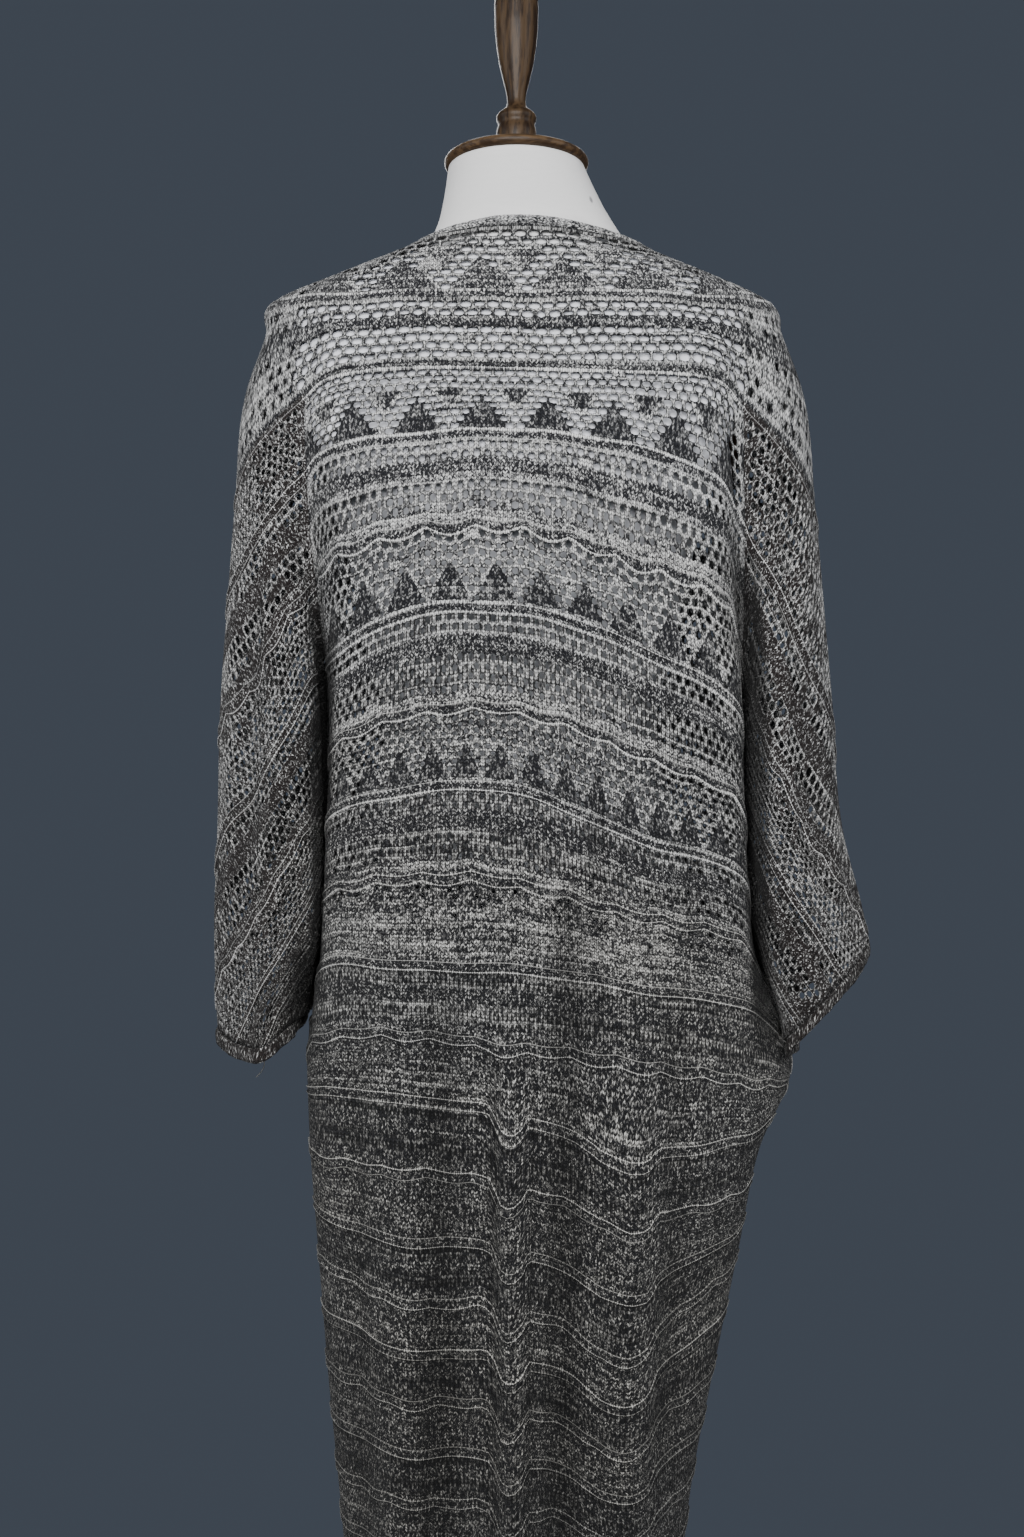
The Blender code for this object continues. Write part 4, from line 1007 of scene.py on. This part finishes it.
# How much cream yarn shows: in all, and by what it belongs to. A knit's own look sets its tone (more
# cream), rim (more round the eyelets), ridge (how plain the welts are), crisp (how sharply the yarns
# part), lift (more in the upper bands) and the black yarn's colour.
CREAM = {
    "base": -0.275, "patch": 0.62, "streak": 0.86, "line": 0.42, "between": -0.24, "triangle": -0.29,
    "rib": -0.22, "bars": 0.07, "airy": 0.07, "below_scallop": -0.035, "hip": -0.06, "middle": 0.09,
}
CREAM_LEAST, CREAM_MOST = 0.24, 0.90
CREAM_SOFT = 0.36  # half the width over which black turns to cream
LIGHT_DROP = 0.28  # how much less cream the skirt's foot has than the shoulders
LEG_SLANT = 1.15  # rise of a stitch's leg over its width, in courses
PLIES, STITCHES = 1.75, 0.34  # how much the plies and the stitches differ from each other
BODY_LOOK = {"tone": 0.0, "rim": -0.10, "ridge": 0.78, "crisp": 1.15, "lift": 0.045}
BODY_BLACK = (0.016, 0.0165, 0.020)
LACE_LOOK = {"tone": -0.26, "rim": 0.46, "ridge": 0.66, "crisp": 1.35, "lift": -0.02}
LACE_BLACK = (0.021, 0.0165, 0.0155)


def knit_material(name, look, black):
    """Marled black and cream yarn in knit stitches, laid out in the knit's own coordinates."""
    g = Graph(name)
    u, v, _ = g.parts(g.node("UVMap", uv_map="knit"))
    # fold is the painted shade of the folds, creases, cuffs and the rolled back neck
    rim, fold, welt_line = (g.attribute(key) for key in ("rim", "fold", "line"))
    dot, solid = g.attribute("dot").step(0.30, 0.72), g.attribute("tri").step(-0.5, 0.5)
    welt = g.attribute("welt")

    # The two slanting legs of each stitch, and their relief
    centre = abs(u.fract() - 0.5)
    leg = v + centre * LEG_SLANT
    across, along = leg.fract() * 2.0 - 1.0, (u * 2.0).fract() * 2.0 - 1.0
    relief = (1 - abs(across) ** 2.0) * (1 - abs(along) ** 4.0)

    # The yarn's own unevenness: by stitch, in patches, by ply, and in streaks along the courses
    where = g.vector((u * 2.0).floor(), leg.floor(), 3.0)
    stitch = g.node("TexWhiteNoise", values={"Vector": where}, noise_dimensions="3D")
    patch = g.noise(g.vector(u * 0.20, leg * 0.62), detail=4.0, roughness=0.7)
    ply = g.noise(g.vector(u * 2.1, leg * 1.5, 5.0), roughness=0.65)
    streak = g.noise(g.vector(u * 0.03, v.floor() * 0.73, 9.0), roughness=0.8)

    # The bands: odd ones of ribs and ladders, even ones of triangles and open mesh
    share = welt.fract()
    odd = (welt.floor() % 2.0).step(0.4, 0.6)
    rib = 1 - abs(share - 0.37).step(0.05, 0.13)
    bold_band, faint = welt.within(1.85, 2.0, 3.0, 3.15), 1 - welt.step(0.9, 1.2)
    bold = (0.85 + bold_band * 0.25) * (1 - faint * 0.27)
    airy = (1 - odd) * (1 - solid) * share.step(0.30, 0.42) * (share * -1.0).step(-0.96, -0.88)
    bars = odd * welt.step(2.9, 3.1) * (
        share.within(0.03, 0.08, 0.24, 0.29) + share.within(0.46, 0.52, 0.72, 0.78)
    )

    # The welts: two light lines, broken here and there, with a dark gap between
    gaps = g.noise(g.vector(u * 0.8, welt * 9.0, 4.0), detail=4.0, roughness=0.8)
    line = welt_line.step(0.50, 1.0) * gaps.step(0.10, 0.48) * welt.step(0.6, 3.6)
    between = (welt_line * -1.0).step(0.0, 0.4)

    # Share of cream yarn, and the colour of each place
    cream = (
        welt.within(0.9, 1.1, 3.0, 3.15) * look["lift"]
        + welt.within(3.45, 3.6, 3.9, 4.05) * CREAM["below_scallop"]
        + welt.within(9.9, 10.3, 13.4, 14.2) * CREAM["hip"]
        + patch * CREAM["patch"] + streak * CREAM["streak"] + (CREAM["base"] + look["tone"])
        + welt.ramp(1.0, 15.0, 0.0, -LIGHT_DROP)
        + line * CREAM["line"] + between * CREAM["between"] + solid * bold * CREAM["triangle"]
        + odd * rib * CREAM["rib"] + bars * CREAM["bars"] + rim * look["rim"]
        + airy * CREAM["airy"] + welt.within(2.6, 3.4, 5.0, 9.0) * CREAM["middle"]
    )
    cream = g.node("Clamp", values={0: cream, 1: CREAM_LEAST, 2: CREAM_MOST})
    quiet = 1 - g.math("MAXIMUM", bars * 0.62, solid * (1 - faint) * 0.50)
    turn = stitch * STITCHES + (ply - 0.5) * PLIES * quiet + 0.33
    soft = CREAM_SOFT / look["crisp"]
    cream = g.math("MAXIMUM", (cream - turn).step(-soft, soft), line * look["ridge"])
    warm = g.noise(g.vector(u * 0.013, v * 0.02, 2.0), detail=1.0)
    pale = g.mix(warm, rgb(0.86, 0.835, 0.79), rgb(0.82, 0.82, 0.815))
    cast = g.mix(welt.step(3.0, 14.0), rgb(0.975, 0.985, 1.0), rgb(1.0, 0.99, 0.945))
    yarn = g.mix(1.0, g.mix(cream, rgb(*black), pale), cast, "MULTIPLY")

    # Painted light and shade over each stitch's relief, painted shade in the eyelets, their closed dots and
    # the folds, and in the slots of the ladders, and painted shade that deepens from the yoke to the skirt's
    # foot
    runs = g.noise(g.vector(u * 0.22, v * 0.16, 7.0), detail=3.0, roughness=0.6)
    open_runs = (runs + odd * 0.07).step(0.45, 0.57)
    tick = 1 - abs((v * 0.34).fract() - 0.5).step(0.30, 0.44)
    slots = g.math("MAXIMUM", bars, open_runs * 0.6)
    ladder = centre.step(0.18, 0.36) * tick * slots * welt.step(2.8, 5.0) * (1 - abs(line))
    painted_shade = (
        relief.ramp(0.1, 0.95, 0.26, 1.16) * welt.ramp(2.0, 18.0, 1.06, 0.44)
        * (1 - rim ** 3.0 * 0.55) * (1 - dot * (0.86 - welt.step(6.0, 8.5) * 0.5))
        * (1 - fold * 0.90) * (1 - ladder * 0.84)
    )
    fuzz = g.noise(g.vector(u * 6.0, v * 5.0))
    return g.finish(
        relief + fuzz * 0.25 + rim ** 2.0 * -1.2 + dot * -1.5, 0.0007, 0.9,
        Base_Color=g.mix(painted_shade, rgb(0.003, 0.003, 0.003), yarn), Roughness=0.78 + fuzz * 0.15,
        Sheen_Weight=0.04, Sheen_Roughness=0.5, Specular_IOR_Level=0.12,
    )


def linen_material():
    """Plain white cloth stretched over the form, with a fine weave, a small mark and a painted cool shade
    below the neck.
    """
    g = Graph("form_cloth")
    at = g.node("TexCoord", out="Object")
    x, y, z = g.parts(at)
    weave = (g.math("ARCTAN2", y, x) * 900.0).sine() * (z * 5200.0).sine()
    slub = g.noise(g.vector(x * 60.0, y * 60.0, z * 400.0), detail=3.0)
    soft = g.noise(at, scale=7.0, detail=3.0)
    color = g.mix(soft, rgb(0.76, 0.755, 0.75), rgb(0.84, 0.835, 0.82))
    # Painted cool shade over the cloth below the neck, where it lies under the knit
    color = g.mix(z.step(1.42, 1.38), color, rgb(0.79, 0.80, 0.85))
    color = g.mix(slub * 0.25, color, rgb(0.62, 0.615, 0.61))
    mark_x, mark_z = x - FORM_MARK[0], z - FORM_MARK[1]
    lean = mark_x * 2.0 + mark_z * -0.5
    far = g.math("SQRT", lean * lean + mark_z * mark_z)
    mark = (1 - (far + slub * 0.001).step(0.0020, 0.0042)) * y.step(0.0, 0.01) * 0.75
    return g.finish(
        weave * 0.35 + slub, 0.0003, 0.5, Base_Color=g.mix(mark, color, rgb(0.12, 0.12, 0.13)),
        Roughness=0.78 + slub * 0.12, Sheen_Weight=0.1,
    )


def wood_material(name, along=(90.0, 90.0, 9.0), wear=0.75, stain=1.0):
    """Dark stained and polished wood, paler where its edges have worn, with its grain along an axis."""
    g = Graph(name)
    at = g.node("TexCoord", out="Object")
    grain = g.vector(*(axis * scale for axis, scale in zip(g.parts(at), along)))
    rings = (g.noise(grain, detail=5.0, roughness=0.65) * 26.0).sine()
    fibre = g.noise(grain, scale=4.5, detail=3.0, roughness=0.7)
    tone = ((rings + 1.0) * 0.22 + fibre * 0.55).step(0.15, 0.85)
    color = g.mix(tone, rgb(0.014, 0.0075, 0.0042, times=stain), rgb(0.060, 0.036, 0.018, times=stain))
    worn = g.node("NewGeometry", out="Pointiness").step(0.52, 0.60)
    rubbed = worn * g.noise(at, scale=60.0, detail=3.0).step(0.35, 0.65)
    return g.finish(
        fibre * 0.6 + rings * 0.15, 0.00025, 0.35,
        Base_Color=g.mix(rubbed * wear, color, rgb(0.22, 0.14, 0.065)), Roughness=0.34 + fibre * 0.24,
        Coat_Weight=0.06, Coat_Roughness=0.10, Specular_IOR_Level=0.18,
    )


def plain_material(name, color, roughness):
    g = Graph(name)
    cloud = g.noise(g.node("TexCoord", out="Object"), scale=2.0, detail=3.0)
    tint = g.mix(cloud * 0.2, rgb(*color), rgb(*color, times=0.85))
    return g.finish(None, 0, 0, Base_Color=tint, Roughness=roughness)


# ---------------------------------------------------------------- pieces


def mesh_object(name, points, faces, smooth=True):
    mesh = bpy.data.meshes.new(name)
    mesh.from_pydata(np.asarray(points, float).tolist(), [], faces)
    if smooth:
        mesh.shade_smooth()
    made = bpy.data.objects.new(name, mesh)
    bpy.context.scene.collection.objects.link(made)
    return made


def place_piece(made, material, slot, *nodes):
    made.data.materials.clear()
    made.data.materials.append(material)
    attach(made, "root")
    if nodes:
        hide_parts(*nodes)
    return made


def solid_piece(made, material, slot, node):
    """place_piece for a closed solid, with its faces turned outwards."""
    place_piece(made, material, slot, node)
    work = bmesh.new()
    work.from_mesh(made.data)
    bmesh.ops.recalc_face_normals(work, faces=work.faces)
    work.to_mesh(made.data)
    work.free()
    return made


def circle(sides):
    return np.linspace(0, 2 * np.pi, sides, endpoint=False)


def ring_faces(rings, sides, caps=True):
    """Faces of a tube of rings, each way round closed, with its ends closed too if caps is set."""
    faces = []
    for i in range(rings - 1):
        for j in range(sides):
            k = (j + 1) % sides
            faces.append((i * sides + j, i * sides + k, (i + 1) * sides + k, (i + 1) * sides + j))
    if caps:
        faces += [tuple(range(sides))[::-1], tuple(range((rings - 1) * sides, rings * sides))]
    return faces


def smoothed(path, times):
    path = path.copy()
    for _ in range(times):
        path[1:-1] = 0.25 * path[:-2] + 0.5 * path[1:-1] + 0.25 * path[2:]
    return path


def resample(path, step):
    """A path's points at even steps, and their distances along it."""
    path = np.asarray(path)
    arc = lengths(path)
    at = np.linspace(0, arc[-1], int(arc[-1] / step))
    return sample(at, arc, path), at


def tube_points(path, radius_at, sides):
    """Rings of points round a path, without twist."""
    tangents = np.gradient(path, axis=0)
    tangents /= np.linalg.norm(tangents, axis=1)[:, None]
    up, angle, rings = np.array((0.0, 1.0, 0.3)), circle(sides), []
    for i, (p, t) in enumerate(zip(path, tangents)):
        up = up - t * (up @ t)
        up /= np.linalg.norm(up)
        out = np.cos(angle)[:, None] * up + np.sin(angle)[:, None] * np.cross(t, up)
        rings.append(p + radius_at(i, angle)[:, None] * out)
    return np.array(rings)


def fill_under_knit(x, y, height, share):
    """Depths y of a ring of the form, filled out towards the inside of the knit behind it."""
    places = np.linspace(0, EDGE, 400)
    most = FORM_FULLER if height < 1.37 else NO_LIMIT
    for side, sign in SIGN.items():
        cover = cloth(side, "back", np.full(len(places), height), places)
        order = np.argsort(cover[:, 0] * sign)
        inner = np.interp(x * sign, cover[order, 0] * sign, cover[order, 1]) - FORM_CLEAR
        reach = share * smooth_step(FORM_WIDEST + 0.004, FORM_WIDEST - 0.008, np.abs(x))
        fuller = np.minimum(np.maximum(inner - y, 0), most) * (reach * smooth_step(0.030, 0.052, y))
        y = y + np.where(x * sign >= 0, fuller, 0)
    return y


def form_object():
    """The form's cloth-covered body: the frame's rings, joined smoothly and a little inside them.

    Under the yoke it fills out to just inside the knit, and its neck spreads into the shoulders.
    """
    heights = np.concatenate([np.linspace(TORSO[0][0], 1.20, 46), np.linspace(1.203, NECK_TOP, 110)])
    table, neck = np.array(TORSO), np.array(FORM_NECK)
    ring = np.stack([hermite(heights, table[:, 0], table[:, i]) for i in range(1, 5)], axis=1)
    neck_half = [np.interp(heights, neck[:, 0], neck[:, i]) for i in (1, 2)]
    c, s = np.cos(circle(FORM_SIDES)), np.sin(circle(FORM_SIDES))
    points = []
    for i, height in enumerate(heights):
        half, back, front, power = ring[i]
        if height > neck[0, 0]:
            half = np.where(c > 0, neck_half[0][i], neck_half[1][i])
        x = (half - FORM_INSET) * np.sign(c) * np.abs(c) ** (2 / power)
        y = (np.where(s > 0, back, front) - FORM_INSET) * np.sign(s) * np.abs(s) ** (2 / power)
        near = float(smooth_step(1.04, 1.26, height) * smooth_step(1.438, 1.412, height))
        behind = smooth_step(0.045, 0.060, y)
        x = x * (1 + FORM_WIDER * behind * near * smooth_step(1.40, 1.36, height))
        if height < ARMHOLE_TOP:
            limit = np.where(behind > 0, FORM_WIDEST, ARMHOLE_X - FORM_INSET)
            x = np.clip(x, -limit, limit)
        if near > 0:
            y = fill_under_knit(x, y, height, near)
        rise = float(smooth_step(NECK_FOOT, NECK_TOP, height))
        z = height - 1e-4 + rise * np.tan(NECK_TILT) * y
        points += list(np.stack([x + rise * NECK_SHIFT, y, z], axis=1))
    return mesh_object("form_body", points, ring_faces(len(heights), FORM_SIDES))


def turned_object(name, profile, sides, lift=None):
    """A lathe-turned solid: its profile rounded between its points, from the top down.

    With a lift it stands that far up the tilted neck, and otherwise on the floor.
    """
    points = np.array(profile)[::-1]
    fine = [points[0]]
    for a, b in zip(points[:-1], points[1:]):
        steps = max(int(np.ceil(np.hypot(*(b - a)) / TURNED_STEP)), 1)
        fine += [a + (b - a) * (i + 1) / steps for i in range(steps)]
    soft = smoothed(np.array(fine), 2)
    out = [(r * np.cos(a), r * np.sin(a), z) for r, z in soft for a in circle(sides)]
    made = mesh_object(name, out, ring_faces(len(soft), sides))
    if lift is not None:
        co = np.empty(len(out) * 3)
        made.data.vertices.foreach_get("co", co)
        x, y, z = co.reshape(-1, 3).T
        z = z + lift
        cos, sin = math.cos(NECK_TILT), math.sin(NECK_TILT)
        co = np.stack([x + NECK_SHIFT, y * cos - z * sin, y * sin + z * cos + NECK_TOP], axis=1)
        made.data.vertices.foreach_set("co", co.ravel())
    return made


def beside(edge, away):
    """A line beside an edge of the knit, a band's radius away from it."""
    along = np.gradient(edge, axis=0)
    along /= np.linalg.norm(along, axis=1)[:, None]
    away = away - along * (away * along).sum(axis=1)[:, None]
    away /= np.linalg.norm(away, axis=1)[:, None]
    corner = smooth_step(YOKE_HIGH, FRONT_TOP, edge[:, 2])[:, None]
    return edge + away * (BAND_RADIUS + BAND_CLEAR + corner * CORNER_CLEAR)


def band_object():
    """The rolled knit edge: up one front, round the back neck and down the other front."""
    rows = np.concatenate([np.linspace(0, 1, 24), np.linspace(1.06, LAST_WELT, 200)])
    edges = {}
    for side, sign in SIGN.items():
        edge = courses("front", side, rows, np.array([0.0]))[:, 0]
        rise = SHOULDER_SLOPE * smooth_step(YOKE_HIGH, FRONT_TOP, edge[:, 2])
        edges[side] = beside(edge, np.stack([-sign + 0 * rise, 0 * rise, rise], axis=1))
    places = np.linspace(-NECK_END, NECK_END, 81)
    top, inside = (courses("back", None, np.array([w, w + 0.01]), places)[0] for w in (0.0, 0.12))
    neck = beside(top[::-1], (top - inside)[::-1])
    path = smoothed(np.concatenate([edges["left"][::-1], neck, edges["right"]]), 3)
    path, along = resample(path, BAND_STEP)

    def lumpy(i, angle):
        turn, stitch = 0.9 * math.sin(along[i] * 9), math.sin(along[i] * 2 * math.pi / 0.0067)
        return BAND_RADIUS * (1 + 0.05 * np.sin(3 * angle + turn) + 0.035 * stitch)

    rings = tube_points(path, lumpy, BAND_SIDES)
    made = mesh_object("rolled_edge", rings.reshape(-1, 3), ring_faces(len(rings), BAND_SIDES))
    # It takes its tone from the welt at its height, and no line or triangle of a band
    fine = np.linspace(0, LAST_WELT, 400)
    level = np.interp(-path[:, 2], -across_welt(fine, "centre"), fine)
    level = 2 * np.floor(level / 2) + 0.2
    round_it = np.arange(BAND_SIDES)[None, :] * 8.0 / BAND_SIDES
    uv = np.stack(np.broadcast_arrays(round_it, (along / COURSE)[:, None]), axis=-1).reshape(-1, 2)
    write_knit(made.data, uv, (NO_TRIANGLE, 0.25, np.repeat(level, BAND_SIDES), 0, 0, 0))
    return made


def cuff_object(side):
    """The narrow folded band round a sleeve's lower edge, soft and a little fuller than the sleeve."""
    places = np.linspace(CUFF_NEAR, EDGE, 60)
    behind, before = (cloth(side, half, cuff_height(side, places), places) for half in ("back", "front"))
    base = np.concatenate([behind, before[-2::-1]])
    away = 1 - smooth_step(CUFF_NEAR, CUFF_FREE, np.concatenate([places, places[-2::-1]]))
    base[:, 0] += SIGN[side] * CUFF_CLEAR * away
    base[len(places) - 1, 1] = 0.0
    tangent = np.roll(base, -1, axis=0) - np.roll(base, 1, axis=0)
    tangent[:, 2] = 0
    tangent /= np.linalg.norm(tangent, axis=1)[:, None] + 1e-9
    out = np.stack([tangent[:, 1], -tangent[:, 0], 0 * tangent[:, 0]], axis=1)
    if ((base - base.mean(axis=0)) * out).sum() < 0:
        out = -out
    arc, n, count, up = lengths(base), len(base), len(CUFF_PROFILE), np.array((0, 0, 1.0))
    points, uv = [], []
    for j, (drop, swell) in enumerate(CUFF_PROFILE):
        wobble = 0.0006 * np.sin(arc * 150 + j) + 0.0004 * np.sin(arc * 390)
        wave = (0.0006 * np.sin(arc * 70))[:, None]
        swollen = base + out * (swell * CUFF_SWELL + wobble)[:, None]
        points.append(swollen + -up * (drop + CUFF_SEAT) + up * wave)
        uv.append(np.stack([arc / WALE, np.full(n, j * 0.7)], axis=1))
    closed = ring_faces(count + 1, n, caps=False)
    faces = [tuple(k % (count * n) for k in face) for face in closed]
    line = np.zeros(count * n)
    if side == "left":
        path, _ = resample([(x, YARN_END_Y, z) for x, z in YARN_END], YARN_STEP)
        tail = tube_points(smoothed(path, 6), lambda i, angle: YARN_RADIUS + 0 * angle, YARN_SIDES)
        faces += [tuple(count * n + k for k in face) for face in ring_faces(len(tail), YARN_SIDES)]
        points.append(tail.reshape(-1, 3))
        uv.append(np.zeros((len(tail) * YARN_SIDES, 2)))
        line = np.concatenate([line, np.ones(len(tail) * YARN_SIDES)])
    made = mesh_object(f"cuff_knit_{side}", np.concatenate(points), faces)
    write_knit(made.data, np.concatenate(uv), (NO_TRIANGLE, line, CUFF_WELT, 0, 0, 0))
    return made


knit = knit_material("marled_knit", BODY_LOOK, BODY_BLACK)
lace = knit_material("marled_lace", LACE_LOOK, LACE_BLACK)
linen = linen_material()
wood = wood_material("turned_wood")
plate = wood_material("plate_wood", along=(9.0, 90.0, 90.0), stain=1.45)
straight = wood_material("straight_wood", wear=0.0)

# Regions of each panel: its welts, its places, the width and height of a cell, and the seed
UPPER, MIDDLE, LOWER = (0.0, YOKE_WELT), (YOKE_WELT, SPLIT_WELT), (SPLIT_WELT, LAST_WELT)
arms = {side: (YOKE_WELT, welt + 0.8) for side, welt in UNDERARM_WELT.items()}
back = knit_object("back_knit", "back", None, (
    (UPPER, (-EDGE, EDGE), 0.0053, 0.0070, 1),
    (MIDDLE, (-FOLD, FOLD), 0.0042, 0.0070, 2),
))
place_piece(back, knit, "knit", "cardigan_back")
skirt = knit_object("back_skirt", "back", None, ((LOWER, (-FOLD, FOLD), 0.0050, 0.0085, 3),))
place_piece(skirt, knit, "knit")
sleeves, fronts = {}, {}
for side, sign in SIGN.items():
    sleeves[side] = knit_object(f"back_sleeve_{side}", "back", side, (
        (arms[side], (sign * FOLD, sign * EDGE), 0.0038, 0.0066, 4, True),
    ))
    place_piece(sleeves[side], lace, "knit")
for side in SIGN:
    fronts[side] = knit_object(f"front_knit_{side}", "front", side, (
        (UPPER, (0, EDGE), 0.0053, 0.0072, 5),
        (MIDDLE, (0, FOLD), 0.0048, 0.0076, 6),
        (LOWER, (0, FOLD), 0.0056, 0.0095, 7),
        (arms[side], (FOLD, EDGE), 0.0042, 0.0070, 8, True),
    ))
    place_piece(fronts[side], knit, "knit", f"front_{side}")
edge_roll = solid_piece(band_object(), knit, "knit", "edge_band")
cuffs = {side: solid_piece(cuff_object(side), lace, "knit", f"cuff_{side}") for side in SIGN}

form = solid_piece(form_object(), linen, "linen", "form_torso")
cap_top = NECK_CAP_PROFILE[0][1] + 2 * GAP
for name, node, profile, sides, lift, material in (
    ("neck_plate", "neck_cap", NECK_CAP_PROFILE, 128, GAP, plate),
    ("turned_finial", "finial", FINIAL_PROFILE, 72, cap_top, wood),
    ("turned_base", "base", BASE_PROFILE, 128, None, plate),
):
    solid_piece(turned_object(name, profile, sides, lift), material, "dark_wood", node)
for name in ("pole", "shoulder_cap_left", "shoulder_cap_right"):
    node = bpy.data.objects[name]
    node.data.materials.clear()
    node.data.materials.append(straight)

# ---------------------------------------------------------------- floor, light and camera

disc = [(FLOOR_RADIUS * math.cos(a), FLOOR_RADIUS * math.sin(a), z) for z in (-0.02, 0.0) for a in circle(96)]
floor = mesh_object("floor", disc, ring_faces(2, 96), smooth=False)
floor.data.materials.append(plain_material("pale_floor", (0.66, 0.66, 0.66), 0.85))

world = bpy.data.worlds.new("studio")
world.use_nodes = True
sky = world.node_tree.nodes["Background"].inputs
sky[0].default_value, sky[1].default_value = (0.055, 0.066, 0.086, 1), 1.0
bpy.context.scene.world = world


def add_to_scene(name, data, place):
    made = bpy.data.objects.new(name, data)
    bpy.context.scene.collection.objects.link(made)
    made.location = place
    return made


for name, (place, aim, size, power) in LIGHTS.items():
    data = bpy.data.lights.new(name, "AREA")
    data.shape, data.energy = "RECTANGLE", power
    data.size, data.size_y = size
    direction = mathutils.Vector(np.array(aim) - np.array(place))
    add_to_scene(name, data, place).rotation_euler = direction.to_track_quat("-Z", "Y").to_euler()

lens = bpy.data.cameras.new("camera")
lens.sensor_width, lens.lens = 36, CAMERA_LENS
camera = add_to_scene("camera", lens, CAMERA_AT)
camera.rotation_euler = (math.radians(90), 0, math.radians(180))
bpy.context.scene.camera = camera
